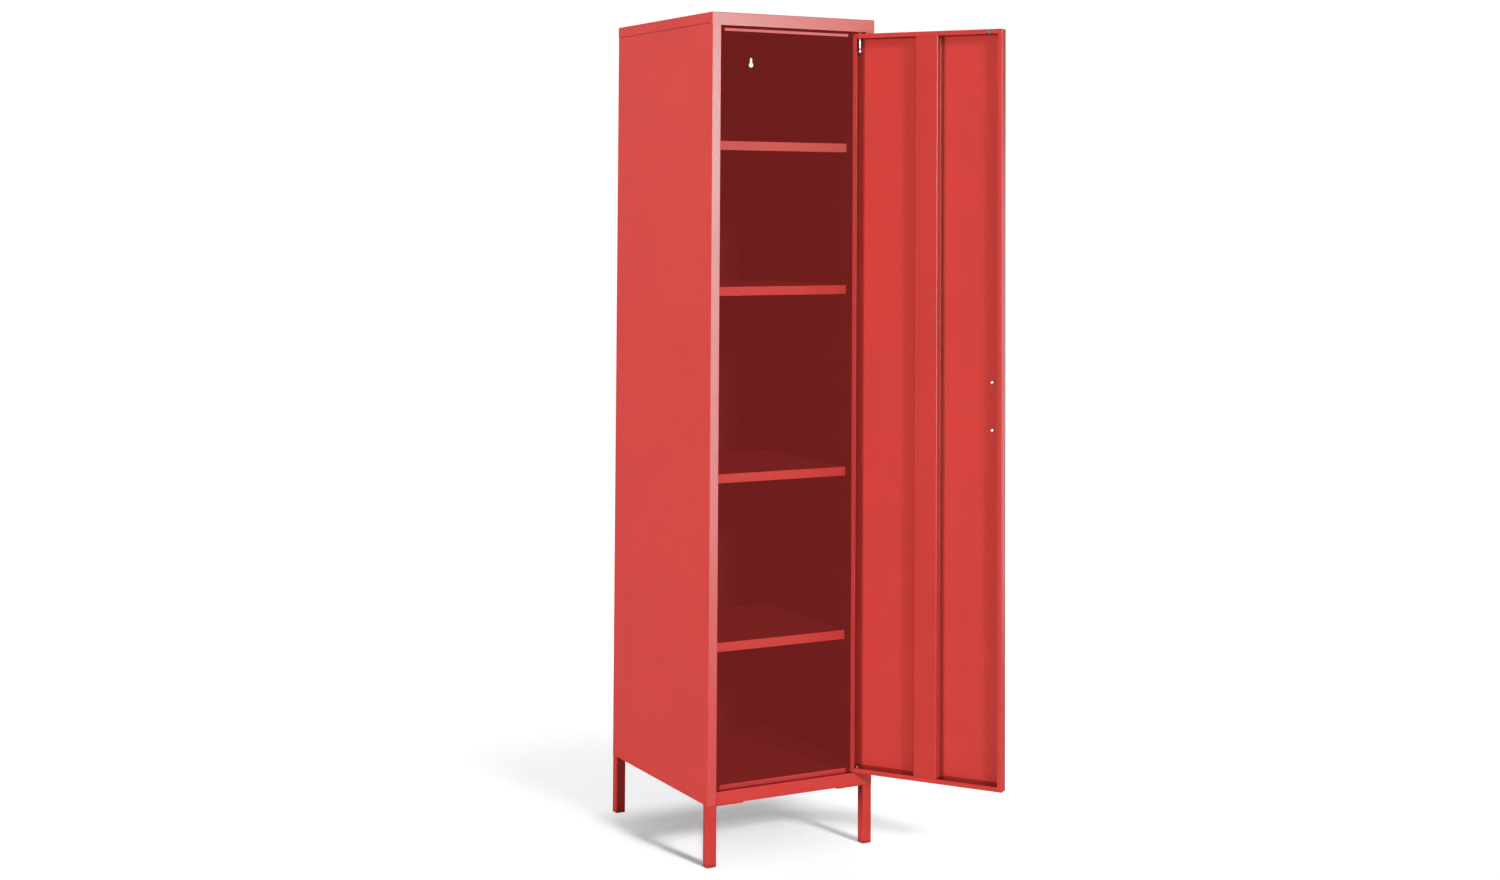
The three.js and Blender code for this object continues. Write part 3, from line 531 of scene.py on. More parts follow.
def block(x0, x1, y0, y1, z0, z1, r=0.0, e=0.0, steps=6):
    """Box with corners rounded in plan by r and top and bottom edges rolled by e."""
    base = [(x0, y0), (x1, y0), (x1, y1), (x0, y1)]
    ring = rounded(base, max(r, 0.0), steps)
    if e <= 0:
        return loft([(ring, z0), (ring, z1)], "z")
    rows = []
    for i in range(steps + 1):
        t = math.pi / 2 * i / steps
        rows.append((e * (1 - math.sin(t)), z0 + e * (1 - math.cos(t))))
    levels = rows + [(d, z1 + z0 - z) for d, z in rows[::-1]]
    rr = []
    for d, z in levels:
        rr.append((rounded([(x0 + d, y0 + d), (x1 - d, y0 + d), (x1 - d, y1 - d), (x0 + d, y1 - d)], max(r - d, 0.05), steps), z))
    return loft(rr, "z")


def disc(u, v, r, a, b, along="z", n=48):
    """Plain cylinder, for holes and cuts."""
    return loft([([(u + r * math.cos(2 * math.pi * i / n), v + r * math.sin(2 * math.pi * i / n)) for i in range(n)], w) for w in (a, b)], along)


def lathe(profile, n=48, along="z", centre=(0, 0)):
    """Turned body; the profile is (radius, level) with levels free to fold back, closed on the axis at both ends."""
    bm = bmesh.new()
    cu, cv = centre
    rows = []
    for r, w in profile:
        if r <= 1e-6:
            rows.append([bm.verts.new(place(cu, cv, w, along))])
        else:
            rows.append([bm.verts.new(place(cu + r * math.cos(2 * math.pi * i / n), cv + r * math.sin(2 * math.pi * i / n), w, along)) for i in range(n)])
    for a, b in zip(rows, rows[1:]):
        for i in range(n):
            j = (i + 1) % n
            if len(a) == 1:
                bm.faces.new((a[0], b[j], b[i]))
            elif len(b) == 1:
                bm.faces.new((a[i], a[j], b[0]))
            else:
                bm.faces.new((a[i], a[j], b[j], b[i]))
    bmesh.ops.recalc_face_normals(bm, faces=bm.faces)
    return bm


def arc(cx, cy, r, a0, a1, n=6):
    """Profile points on a circle, angles in degrees."""
    return [(cx + r * math.cos(math.radians(a0 + (a1 - a0) * i / n)), cy + r * math.sin(math.radians(a0 + (a1 - a0) * i / n))) for i in range(n + 1)]


def as_object(bm, name="work"):
    me = bpy.data.meshes.new(name)
    bmesh.ops.recalc_face_normals(bm, faces=bm.faces)
    bm.to_mesh(me)
    bm.free()
    o = bpy.data.objects.new(name, me)
    scene.collection.objects.link(o)
    return o


def combine(base, *ops):
    """base with each ('cut' | 'join', bmesh) applied by exact booleans. Returns a mesh object."""
    o = as_object(base)
    for kind in ("join", "cut"):
        bodies = [b for k, b in ops if k == kind]
        for b in bodies:
            t = as_object(b)
            m = o.modifiers.new("b", "BOOLEAN")
            m.solver = "EXACT"
            m.operation = "UNION" if kind == "join" else "DIFFERENCE"
            m.object = t
            dg = bpy.context.evaluated_depsgraph_get()
            me = bpy.data.meshes.new_from_object(o.evaluated_get(dg))
            old = o.data
            o.modifiers.clear()
            o.data = me
            bpy.data.meshes.remove(old)
            bpy.data.objects.remove(t)
    return o


SHIFT = Matrix.Translation((CX, CY, 0)) @ Matrix.Scale(MM, 4)
PIVOT = Vector(((AXIS.x - CX) / MM, (AXIS.y - CY) / MM, 0))
SWING = (
    Matrix.Translation((AXIS.x, AXIS.y, 0))
    @ Matrix.Rotation(math.radians(OPEN), 4, "Z")
    @ Matrix.Translation((-AXIS.x, -AXIS.y, 0))
    @ SHIFT
)
made = []


def piece(o, name, node, body, material, on_door=False, angle=32):
    """Finishes a mesh object: puts it on its body in place of the CAD node it stands for."""
    if isinstance(o, bmesh.types.BMesh):
        o = as_object(o)
    me = o.data
    me.transform(SWING if on_door else SHIFT)
    bm = bmesh.new()
    bm.from_mesh(me)
    bmesh.ops.remove_doubles(bm, verts=bm.verts, dist=2e-7)
    bmesh.ops.dissolve_degenerate(bm, edges=bm.edges, dist=1e-7)
    bmesh.ops.triangulate(bm, faces=[f for f in bm.faces if len(f.verts) > 4])
    bmesh.ops.recalc_face_normals(bm, faces=bm.faces)
    bm.to_mesh(me)
    bm.free()
    o.name = name
    me.name = name
    me.materials.clear()
    me.materials.append(material)
    me.shade_smooth()
    me.set_sharp_from_angle(angle=math.radians(angle))
    w = o.modifiers.new("even_shading", "WEIGHTED_NORMAL")
    w.mode = "FACE_AREA"
    w.weight = 50
    w.keep_sharp = True
    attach(o, body)
    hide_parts(node)
    made.append(o)
    return o


# ---- side walls, drawn as the left one
lip_at = FY + 20.8
for tag, s in (("left", -1), ("right", 1)):
    lo, hi = plan_box("side_panel_" + tag)
    ring = folded(
        [(-168.8 - 13, lip_at), (-168.8, lip_at), (-168.8, FY), (-XO, FY), (-XO, BY), (-XO + 17, BY)],
        -1,
        [0.5, 0.7, 0.9, 0.7],
    )
    o = combine(
        prism(ring, "z", lo.z, hi.z),
        ("join", block(-XO + 0.4, -XO + 18, FY + 27, BY - 29, lo.z + 0.1, lo.z + 0.1 + T)),
        ("cut", block(-XI - 0.04, 0, FY - 1, lip_at + 3, TOP - DROP - 0.2, TOP + 1)),
        ("cut", block(-XO - 1, 0, FY - 1, FY + 1.9, TOP - DROP - 0.2, TOP + 1)),
        ("cut", block(-XO - 1, 0, BY - 1.9, BY + 1, TOP - 21.8, TOP + 1)),
    )
    if s > 0:
        o.data.transform(Matrix.Diagonal((-1, 1, 1, 1)))
    piece(o, "cabinet_side_" + tag, "side_panel_" + tag, "cabinet", outside_paint)

# ---- back sheet with keyholes
lo, hi = plan_box("back_panel")
cuts = []
for s in (-1, 1):
    cx, cz = s * 138.5, 1630.5
    cuts += [
        ("cut", disc(cz, cx, 5.6, BY - 5, BY + 1, "y")),
        ("cut", block(cx - 2.9, cx + 2.9, BY - 5, BY + 1, cz, cz + 13)),
        ("cut", disc(cz + 13, cx, 2.9, BY - 5, BY + 1, "y")),
    ]
edge = XI - 0.03
sheet = prism(rounded([(-edge, lo.y), (edge, lo.y), (edge, hi.y), (-edge, hi.y)], 0.2, 3), "z", lo.z, hi.z, 0.0)
piece(combine(sheet, *cuts), "cabinet_back", "back_panel", "cabinet", outside_paint)

# ---- top cap: rolled edge, deep front flange that wraps the corners
outer = block(-HALF_W, HALF_W, FY, BY, TOP - DROP - 6, TOP, 1.6, 1.3, 8)
o = combine(
    outer,
    ("cut", block(-HALF_W - 5, HALF_W + 5, FY - 9, BY + 9, TOP - 40, TOP - DROP)),
    ("cut", block(-HALF_W + T, HALF_W - T, FY + T, BY - T, TOP - 29, TOP - T, 0.8, 0.0)),
    ("cut", block(-HALF_W - 1, -HALF_W + T + 1, FY + 7, BY + 1, TOP - 29, TOP - 21.6)),
    ("cut", block(HALF_W - T - 1, HALF_W + 1, FY + 7, BY + 1, TOP - 29, TOP - 21.6)),
    ("cut", block(-HALF_W - 1, HALF_W + 1, BY - 3, BY + 1, TOP - 29, TOP - 21.6)),
)
piece(o, "cabinet_cap", "top_cap", "cabinet", outside_paint)

# ---- header rail
STOP_Y = FY + 21.5
hp = plan_box("header_rail")
HEAD_Z, HEAD_LIP = 1675.4, hp[0].z
ring = folded([(FY + T + GAP, TOP - T - 1.2), (FY + T + GAP, HEAD_Z), (STOP_Y, HEAD_Z), (STOP_Y, HEAD_LIP)], 1, 0.5)
zc = HEAD_Z - 0.3
S0, S1 = -152.0, 140.0
XP, YP = PIVOT.x, PIVOT.y
o = combine(
    prism(ring, "x", hp[0].x, hp[1].x),
    ("cut", prism([(HEAD_LIP - 1, -XI - 1), (HEAD_LIP - 1, S0 + 2.5), (zc, S0 - 1), (zc, -XI - 1)], "y", FY + 12, STOP_Y + 3, 0)),
    ("cut", prism([(HEAD_LIP - 1, S1 - 2.5), (HEAD_LIP - 1, XI + 1), (zc, XI + 1), (zc, S1 + 1)], "y", FY + 12, STOP_Y + 3, 0)),
    ("cut", disc(XP, YP, 3.6, HEAD_Z - 2, HEAD_Z + 4)),
)
piece(o, "cabinet_header", "header_rail", "cabinet", header_paint)

# ---- bottom front rail
rp = plan_box("bottom_rail_front")
BZ, LIP_TOP = rp[0].z, rp[1].z
LEDGE_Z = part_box("floor_panel")[1].z / MM
RAIL_TOP = LEDGE_Z + 2.5
ring = folded(
    [(FY + 25, BZ), (FY, BZ), (FY, RAIL_TOP), (FY + 2, RAIL_TOP), (FY + 2, LEDGE_Z), (STOP_Y, LEDGE_Z), (STOP_Y, LIP_TOP)],
    -1,
    [0.6, 0.12, 0.12, 0.3, 0.5],
)
zc = LEDGE_Z + 0.3
o = combine(
    prism(ring, "x", rp[0].x, rp[1].x),
    ("cut", prism([(zc, -XI), (zc, S0 - 1), (LIP_TOP + 1, S0 + 2.5), (LIP_TOP + 1, -XI)], "y", FY + 12, STOP_Y + 3, 0)),
    ("cut", prism([(zc, S1 + 1), (zc, XI), (LIP_TOP + 1, XI), (LIP_TOP + 1, S1 - 2.5)], "y", FY + 12, STOP_Y + 3, 0)),
    ("cut", disc(XP, YP, 2.4, LEDGE_Z - 3, LEDGE_Z + 2)),
    ("cut", disc(-124, FY + 13, 2.7, BZ - 1, BZ + 2)),
    ("cut", disc(124, FY + 13, 2.7, BZ - 1, BZ + 2)),
)
piece(o, "cabinet_sill", "bottom_rail_front", "cabinet", sill_paint)

# ---- bottom rear rail
rr = plan_box("bottom_rail_rear")
ring = folded([(rr[0].y, BZ), (rr[1].y, BZ), (rr[1].y, rr[1].z)], 1, 0.6)
o = combine(
    prism(ring, "x", rr[0].x, rr[1].x),
    ("cut", disc(-124, BY - 14, 2.7, BZ - 1, BZ + 2)),
    ("cut", disc(124, BY - 14, 2.7, BZ - 1, BZ + 2)),
)
piece(o, "cabinet_rear_rail", "bottom_rail_rear", "cabinet", outside_paint)

# ---- floor tray
fp = plan_box("floor_panel")
o = combine(
    block(fp[0].x, fp[1].x, fp[0].y, fp[1].y, fp[0].z - 3, fp[1].z, 0.8, 0.9, 6),
    ("cut", block(fp[0].x - 5, fp[1].x + 5, fp[0].y - 5, fp[1].y + 5, fp[0].z - 8, fp[0].z)),
    ("cut", block(fp[0].x + T, fp[1].x - T, fp[0].y + T, fp[1].y - T, fp[0].z - 2, fp[1].z - T)),
)
piece(o, "cabinet_floor", "floor_panel", "cabinet", outside_paint)

# ---- shelves: rolled front with a hem, flanges turned down
for k in (1, 2, 3, 4):
    sp = plan_box("shelf_%d" % k)
    y0, y1, zt, zb = sp[0].y, sp[1].y, sp[1].z, sp[0].z
    x = sp[1].x
    ring = folded([(y0 + 9, zb), (y0, zb), (y0, zt), (y1, zt), (y1, zt - 12)], -1, 0.6)
    ops = []
    for s in (-1, 1):
        xs = (-x + 0.1, -x + T + 0.1) if s < 0 else (x - T - 0.1, x - 0.1)
        ops.append(("join", block(xs[0], xs[1], y0 + 4, y1 - 4, zt - 12, zt - 0.4)))
    piece(combine(prism(ring, "x", -x, x), *ops), "shelf_board_%d" % k, "shelf_%d" % k, "cabinet", shelf_paint)
    for c in "abcd":
        node = "shelf_clip_%d%s" % (k, c)
        cp = plan_box(node)
        right = (cp[0].x + cp[1].x) > 0
        xw, xn = (cp[1].x, cp[0].x) if right else (cp[0].x, cp[1].x)
        d = -1 if right else 1
        pts = [(xw, cp[1].z), (xn, cp[1].z), (xn, cp[1].z - 1.2), (xw + d * 1.2, cp[1].z - 1.2), (xw + d * 1.2, cp[0].z), (xw, cp[0].z)]
        ring = rounded([(z, xx) for xx, z in pts], [0.9, 0.4, 0.4, 0.7, 0.4, 0.4], 5)
        piece(prism(ring, "y", cp[0].y, cp[1].y, 0.3), "shelf_rest_%d%s" % (k, c), node, "cabinet", outside_paint)

# ---- legs, foot plugs, gussets, bolts
for tag in ("front_left", "front_right", "rear_left", "rear_right"):
    lo, hi = plan_box("leg_" + tag)
    sx = 1 if (lo.x + hi.x) > 0 else -1
    sy = 1 if (lo.y + hi.y) > 0 else -1
    outer_ring = rounded([(lo.x, lo.y), (hi.x, lo.y), (hi.x, hi.y), (lo.x, hi.y)], 2.2, 8)
    inner_ring = rounded([(lo.x + 1.5, lo.y + 1.5), (hi.x - 1.5, lo.y + 1.5), (hi.x - 1.5, hi.y - 1.5), (lo.x + 1.5, hi.y - 1.5)], 0.8, 8)
    tube = combine(prism(outer_ring, "z", lo.z, hi.z, 0.25), ("cut", prism(inner_ring, "z", lo.z - 1, hi.z + 1, 0)))
    piece(tube, "leg_tube_" + tag, "leg_" + tag, "cabinet", leg_paint)
    fl, fh = plan_box("foot_" + tag)
    cxf, cyf = (fl.x + fh.x) / 2, (fl.y + fh.y) / 2
    h = (fh.x - fl.x) / 2
    rows = [(2.6, 0.0), (1.3, 0.16), (0.55, 0.5), (0.12, 1.05), (0.0, 1.6), (0.0, 2.55), (0.12, 2.85), (0.5, 3.0)]
    body = loft([(rounded([(cxf - h + d, cyf - h + d), (cxf + h - d, cyf - h + d), (cxf + h - d, cyf + h - d), (cxf - h + d, cyf + h - d)], max(2.2 - d, 0.5), 8), z) for d, z in rows], "z")
    neck = h - 1.5 - 0.25
    stem = prism(rounded([(cxf - neck, cyf - neck), (cxf + neck, cyf - neck), (cxf + neck, cyf + neck), (cxf - neck, cyf + neck)], 0.7, 6), "z", 2.5, fh.z, 0.4)
    foot = combine(body, ("join", stem), ("cut", disc(cxf, cyf, 3.0, -1, 0.9)))
    piece(foot, "foot_plug_" + tag, "foot_" + tag, "cabinet", plug)
    li, lj = min(abs(lo.x), abs(hi.x)) - 0.2, min(abs(lo.y), abs(hi.y)) - 0.2
    pts = [(sx * li, sy * (HALF_D - 0.6)), (sx * 107, sy * (HALF_D - 0.6)), (sx * 107, sy * (HALF_D - 22)), (sx * (li + 2), sy * (HALF_D - 78)), (sx * (li + 10), sy * (HALF_D - 78)), (sx * (li + 10), sy * lj), (sx * li, sy * lj)]
    by = FY + 13 if sy < 0 else BY - 14
    gz = plan_box("leg_gusset_" + tag)
    plate = combine(prism(rounded(pts, [0.6, 2.5, 6, 3, 1.2, 0.6, 0.4], 6), "z", gz[0].z, gz[1].z, 0.3), ("cut", disc(sx * 124, by, 2.7, gz[0].z - 1, gz[1].z + 1)))
    piece(plate, "leg_plate_" + tag, "leg_gusset_" + tag, "cabinet", outside_paint)
    head = [(0, BZ - 5.4), (2.9, BZ - 5.4), (3.7, BZ - 5.25), (4.4, BZ - 4.8), (4.85, BZ - 4.1), (5.0, BZ - 3.3), (5.2, BZ - 3.15), (5.2, BZ - 2.3), (5.05, BZ - 2.2), (2.4, BZ - 2.2)]
    thread = []
    z = BZ - 1.8
    while z < BZ + 6.6:
        thread += [(2.4, z), (2.08, z + 0.4)]
        z += 0.8
    bolt = combine(
        lathe(head + thread + [(2.3, BZ + 7.0), (1.8, BZ + 7.8), (0, BZ + 7.8)], 40, "z", (sx * 124, by)),
        ("cut", prism([(sx * 124 + 2.2 * math.cos(math.radians(60 * i + 30)), by + 2.2 * math.sin(math.radians(60 * i + 30))) for i in range(6)], "z", BZ - 6, BZ - 3.6, 0)),
    )
    piece(bolt, "leg_screw_" + tag, "leg_bolt_" + tag, "cabinet", zinc, angle=28)

# ---- hinge hardware on the cabinet
bl, bh = plan_box("hinge_bush_top")
o = combine(
    lathe([(0, bl.z), (4.6, bl.z), (4.88, bl.z + 0.12), (5.0, bl.z + 0.4), (5.0, TOP - DROP - 0.6), (4.7, TOP - DROP - 0.3), (3.4, TOP - DROP - 0.3), (3.4, bh.z - 0.4), (3.1, bh.z), (0, bh.z)], 48, "z", (XP, YP)),
    ("cut", disc(XP, YP, 2.7, bl.z - 2, bh.z + 2)),
)
piece(o, "hinge_bush", "hinge_bush_top", "cabinet", nylon)
wl, wh = plan_box("hinge_washer_bottom")
o = combine(
    lathe([(0, wl.z), (3.2, wl.z), (3.35, wl.z + 0.2), (3.35, wh.z - 0.3), (3.1, wh.z), (0, wh.z)], 48, "z", (XP, YP)),
    ("cut", disc(XP, YP, 2.4, wl.z - 2, wh.z + 2)),
)
piece(o, "hinge_washer", "hinge_washer_bottom", "cabinet", nylon)
hl, hh = plan_box("hinge_pin_bottom")
o = lathe(
    [(0, hl.z), (3.6, hl.z), (4.15, hl.z + 0.15), (4.4, hl.z + 0.5), (4.4, LEDGE_Z - T - GAP), (2.0, LEDGE_Z - T - GAP), (2.0, hh.z - 1.8)]
    + [(2.0 * math.cos(a), hh.z - 1.8 + 1.8 * math.sin(a)) for a in [math.radians(x) for x in (15, 30, 45, 60, 75)]]
    + [(0, hh.z)],
    48,
    "z",
    (XP, YP),
)
piece(o, "hinge_stud", "hinge_pin_bottom", "cabinet", zinc)

# ---- door: drawn closed, then swung to its rest angle
DX0, DX1 = -166.5, 167.0
dl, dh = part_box("door_skin")
DZ0, DZ1 = dl.z / MM, dh.z / MM
DY0, DY1 = FY, FY + 20
SX = DX0 + 28.5
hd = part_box("door_handle")
HZ = (hd[0].z + hd[1].z) / 2 / MM
SCREWS = [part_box("handle_screw_upper"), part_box("handle_screw_lower")]
SZ = [(a.z + b.z) / 2 / MM for a, b in SCREWS]
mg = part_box("catch_magnet")
MX, MZ = DX1 - 305.7, (mg[0].z + mg[1].z) / 2 / MM


def pan():
    """Door tray: outer skin with rolled edges, four walls, and a lip turned in all round."""
    return combine(
        block(DX0, DX1, DY0, DY1, DZ0, DZ1, 1.5, 1.1, 8),
        ("cut", block(DX0 + T, DX1 - T, DY0 + T, DY1 - T, DZ0 + T, DZ1 - T, 0.7, 0.0, 6)),
        ("cut", block(DX0 + 9.5, DX1 - 9.5, DY1 - 2, DY1 + 2, DZ0 + 9.5, DZ1 - 9.5, 0, 0)),
        ("cut", disc(XP, YP, 2.7, DZ1 - 3, DZ1 + 2)),
        ("cut", disc(XP, YP, 2.7, DZ0 - 2, DZ0 + 3)),
        ("cut", disc(SZ[0], SX, 2.4, DY0 - 2, DY0 + 3, "y")),
        ("cut", disc(SZ[1], SX, 2.4, DY0 - 2, DY0 + 3, "y")),
        ("cut", disc(MZ, MX, 2.4, DY1 - 3, DY1 + 3, "y")),
    )


piece(pan(), "door_pan", "door_skin", "door", door_paint, True)

# centre stiffener: hat section
xc = (DX0 + DX1) / 2
yb = DY0 + T + 0.3 + T
ring = folded(
    [(xc - 34, yb), (xc - 25, yb), (xc - 25, DY1), (xc + 25, DY1), (xc + 25, yb), (xc + 34, yb)],
    -1,
    [1.0, 1.4, 1.4, 1.0],
    steps=10,
)
piece(prism(ring, "z", DZ0 + 9.8, DZ1 - 9.8), "door_hat_channel", "door_stiffener", "door", rib_paint, True)

# handle: round bar bent twice
y0 = DY0 - 0.3
out = DY0 - 22.5
pts = []


def bend(cy, cz, a0, a1, r=9.0, n=14):
    return [(cy + r * math.cos(math.radians(a0 + (a1 - a0) * i / n)), cz + r * math.sin(math.radians(a0 + (a1 - a0) * i / n))) for i in range(n + 1)]


centre = [(y0, SZ[0]), (y0 - 3, SZ[0])] + bend(out + 9, SZ[0] - 9, 90, 180) + bend(out + 9, SZ[1] + 9, 180, 270) + [(y0 - 3, SZ[1]), (y0, SZ[1])]
bm = bmesh.new()
rows = []
N = 40
for i, (yy, zz) in enumerate(centre):
    a = Vector(centre[max(i - 1, 0)])
    b = Vector(centre[min(i + 1, len(centre) - 1)])
    t = (b - a).normalized()
    if i in (0, len(centre) - 1):
        t = Vector((-1, 0)) if i == 0 else Vector((1, 0))
    nrm = Vector((-t.y, t.x))
    rows.append([bm.verts.new((SX + 4.5 * math.cos(2 * math.pi * k / N), yy + nrm.x * 4.5 * math.sin(2 * math.pi * k / N), zz + nrm.y * 4.5 * math.sin(2 * math.pi * k / N))) for k in range(N)])
for a, b in zip(rows, rows[1:]):
    for k in range(N):
        j = (k + 1) % N
        bm.faces.new((a[k], a[j], b[j], b[k]))
bm.faces.new(rows[0][::-1])
bm.faces.new(rows[-1])
bar = combine(
    bm,
    ("cut", disc(SZ[0], SX, 2.4, y0 - 12, y0 + 2, "y")),
    ("cut", disc(SZ[1], SX, 2.4, y0 - 12, y0 + 2, "y")),
)
piece(bar, "door_pull", "door_handle", "door", zinc, True, angle=40)
for k, tag in enumerate(("upper", "lower")):
    ys = DY0 + T + 0.3
    dome = [(4.5 * math.cos(math.radians(a)), ys + 0.5 + 2.3 * math.sin(math.radians(a))) for a in (0, 12, 24, 36, 48, 60, 72, 82)]
    prof = [(0, y0 - 10), (1.6, y0 - 10), (1.9, y0 - 9.6), (1.9, ys), (4.4, ys), (4.5, ys + 0.12)] + dome + [(0, ys + 2.82)]
    cross = [
        ("cut", block(SX - 0.55, SX + 0.55, ys + 1.5, ys + 5, SZ[k] - 2.7, SZ[k] + 2.7)),
        ("cut", block(SX - 2.7, SX + 2.7, ys + 1.5, ys + 5, SZ[k] - 0.55, SZ[k] + 0.55)),
    ]
    o = combine(lathe(prof, 40, "y", (SZ[k], SX)), *cross)
    piece(o, "pull_screw_" + tag, "handle_screw_" + tag, "door", zinc, True, angle=28)

# catch magnet: riveted cup with a sunk centre
prof = [
    (0, DY1 - T - 1.6), (3.2, DY1 - T - 1.6), (3.4, DY1 - T - 1.4), (3.4, DY1 - T - 0.3), (2.0, DY1 - T - 0.3), (2.0, DY1 + 0.3),
    (4.4, DY1 + 0.3), (4.5, DY1 + 0.4), (4.5, DY1 + 0.85), (4.35, DY1 + 1.12), (4.0, DY1 + 1.28), (3.6, DY1 + 1.3),
    (3.0, DY1 + 1.28), (2.6, DY1 + 1.15), (2.35, DY1 + 0.85), (2.3, DY1 + 0.55), (0, DY1 + 0.5),
]
piece(lathe(prof, 48, "y", (MZ, MX)), "catch_disc", "catch_magnet", "door", darker_zinc, True, angle=40)

# ---- top hinge pin with its turned knob
pl, ph = pin_lo.z / MM, pin_hi.z / MM
knob = [(0, pl), (0.9, pl + 0.12), (1.8, pl + 0.55), (2.5, pl + 1.3), (2.95, pl + 2.3), (3.15, pl + 3.4), (3.18, pl + 4.2), (3.0, pl + 5.4), (2.6, pl + 6.4), (2.05, pl + 7.3), (1.62, pl + 8.0), (1.5, pl + 8.6), (1.52, pl + 9.2), (1.75, pl + 9.9), (2.1, pl + 10.5), (2.3, pl + 11.1)]
tip = [(2.3, ph - 1.6), (2.22, ph - 1.0), (1.9, ph - 0.4), (1.45, ph - 0.08), (0, ph)]
piece(lathe(knob + tip, 48, "z", (XP, YP)), "hinge_pull_pin", "hinge_pin_top", "hinge_pin", zinc, True, angle=40)


# ---------------------------------------------------------------- stage, light, camera
FLOOR_GAIN = 1.56  # the floor is a little overexposed, as a white sweep is
FADE = (0.55, 1.15)  # its shadows die out between these distances from the cabinet


def stage_floor():
    me = bpy.data.meshes.new("floor")
    bm = bmesh.new()
    for x, y in ((-30, -30), (30, -30), (30, 60), (-30, 60)):
        bm.verts.new((x, y, -0.0002))
    bm.faces.new(bm.verts)
    bm.to_mesh(me)
    bm.free()
    o = bpy.data.objects.new("floor", me)
    scene.collection.objects.link(o)
    m = new_material("floor")
    n = Nodes(m.node_tree)
    co = n.add("ShaderNodeTexCoord").outputs["Object"]
    t = n.add("ShaderNodeTexNoise", inputs={"Vector": co, "Scale": 3.0, "Detail": 2.0})
    tone = n.ramp(t.outputs[0], 0.3, 0.7, 0.995, 1.005)
    plain = n.add("ShaderNodeBsdfDiffuse", inputs={"Color": (0.85, 0.85, 0.85, 1)})
    p = n.add("ShaderNodeSeparateXYZ", inputs={0: n.add("ShaderNodeNewGeometry").outputs["Position"]})
    dx = n.math("SUBTRACT", p.outputs[0], CX)
    dy = n.math("SUBTRACT", p.outputs[1], CY)
    # painted shadow of the open door on the floor, beside the front leg on the hinge side
    ax, ay, bx, by = 0.245, -0.030, 0.055, -0.145
    share = n.math("ADD", n.math("MULTIPLY", n.math("SUBTRACT", dx, ax), bx), n.math("MULTIPLY", n.math("SUBTRACT", dy, ay), by))
    share = n.ramp(share, 0.0, bx * bx + by * by, smooth=False)
    ex = n.math("SUBTRACT", n.math("SUBTRACT", dx, ax), n.math("MULTIPLY", share, bx))
    ey = n.math("SUBTRACT", n.math("SUBTRACT", dy, ay), n.math("MULTIPLY", share, by))
    off = n.math("SQRT", n.math("ADD", n.math("MULTIPLY", ex, ex), n.math("MULTIPLY", ey, ey)))
    door_shadow_factor = n.ramp(off, 0.0, 0.090, 0.84, 1.0)
    near = n.add("ShaderNodeBsdfDiffuse", inputs={"Color": n.scale((FLOOR_GAIN,) * 3, n.math("MULTIPLY", tone, door_shadow_factor))})
    white = n.add("ShaderNodeEmission", inputs={"Color": (1, 1, 1, 1), "Strength": n.math("MULTIPLY", door_shadow_factor, 1.04)})
    far = n.math("SQRT", n.math("ADD", n.math("MULTIPLY", dx, dx), n.math("MULTIPLY", dy, dy)))
    keep = n.math("SUBTRACT", 1.0, n.ramp(far, FADE[0], FADE[1]))
    keep = n.math("MULTIPLY", keep, n.ramp(dy, 0.110, 0.260, 1.0, 0.38))
    keep = n.math("MULTIPLY", keep, n.ramp(dx, 0.095, 0.285, 1.0, 0.28))
    keep = n.math("MULTIPLY", keep, n.ramp(dy, 0.0, 0.09, 0.97, 0.72))
    seen = n.add("ShaderNodeMixShader", inputs={0: keep, 1: white.outputs[0], 2: near.outputs[0]})
    rays = n.add("ShaderNodeLightPath")
    dull = n.add("ShaderNodeBsdfDiffuse", inputs={"Color": (0.30, 0.30, 0.30, 1)})
    bright = n.add("ShaderNodeEmission", inputs={"Color": (0.95, 1, 1, 1), "Strength": 0.35})
    dull = n.add("ShaderNodeMixShader", inputs={0: n.ramp(dx, 0.55, 0.9), 1: dull.outputs[0], 2: bright.outputs[0]})
    other = n.add("ShaderNodeMixShader", inputs={0: rays.outputs["Is Glossy Ray"], 1: plain.outputs[0], 2: dull.outputs[0]})
    s = n.add("ShaderNodeMixShader", inputs={0: rays.outputs["Is Camera Ray"], 1: other.outputs[0], 2: seen.outputs[0]})
    # from underneath, the sweep is left out of the picture
    below = n.math("MULTIPLY", rays.outputs["Is Camera Ray"], n.add("ShaderNodeNewGeometry").outputs["Backfacing"])
    clear = n.add("ShaderNodeBsdfTransparent")
    s = n.add("ShaderNodeMixShader", inputs={0: below, 1: s.outputs[0], 2: clear.outputs[0]})
    out = n.add("ShaderNodeOutputMaterial")
    n.put(out.inputs[0], s.outputs[0])
    me.materials.append(m)
    o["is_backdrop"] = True
    return o


floor = stage_floor()


def direction(az, el):
    """Unit vector towards a light: az from the front (-Y) towards +X, el above the horizon, degrees."""
    a, e = math.radians(az), math.radians(el)
    return Vector((math.sin(a) * math.cos(e), -math.cos(a) * math.cos(e), math.sin(e)))


def aim(o, towards):
    o.rotation_mode = "QUATERNION"
    o.rotation_quaternion = towards.to_track_quat("-Z", "Y")


def sun(name, az, el, size, strength, colour=(1, 1, 1)):
    d = bpy.data.lights.new(name, "SUN")
    d.angle = math.radians(size)
    d.energy = strength
    d.color = colour
    o = bpy.data.objects.new(name, d)
    scene.collection.objects.link(o)
    o.location = Vector((CX, CY, 1)) + direction(az, el) * 5
    aim(o, -direction(az, el))
    return o


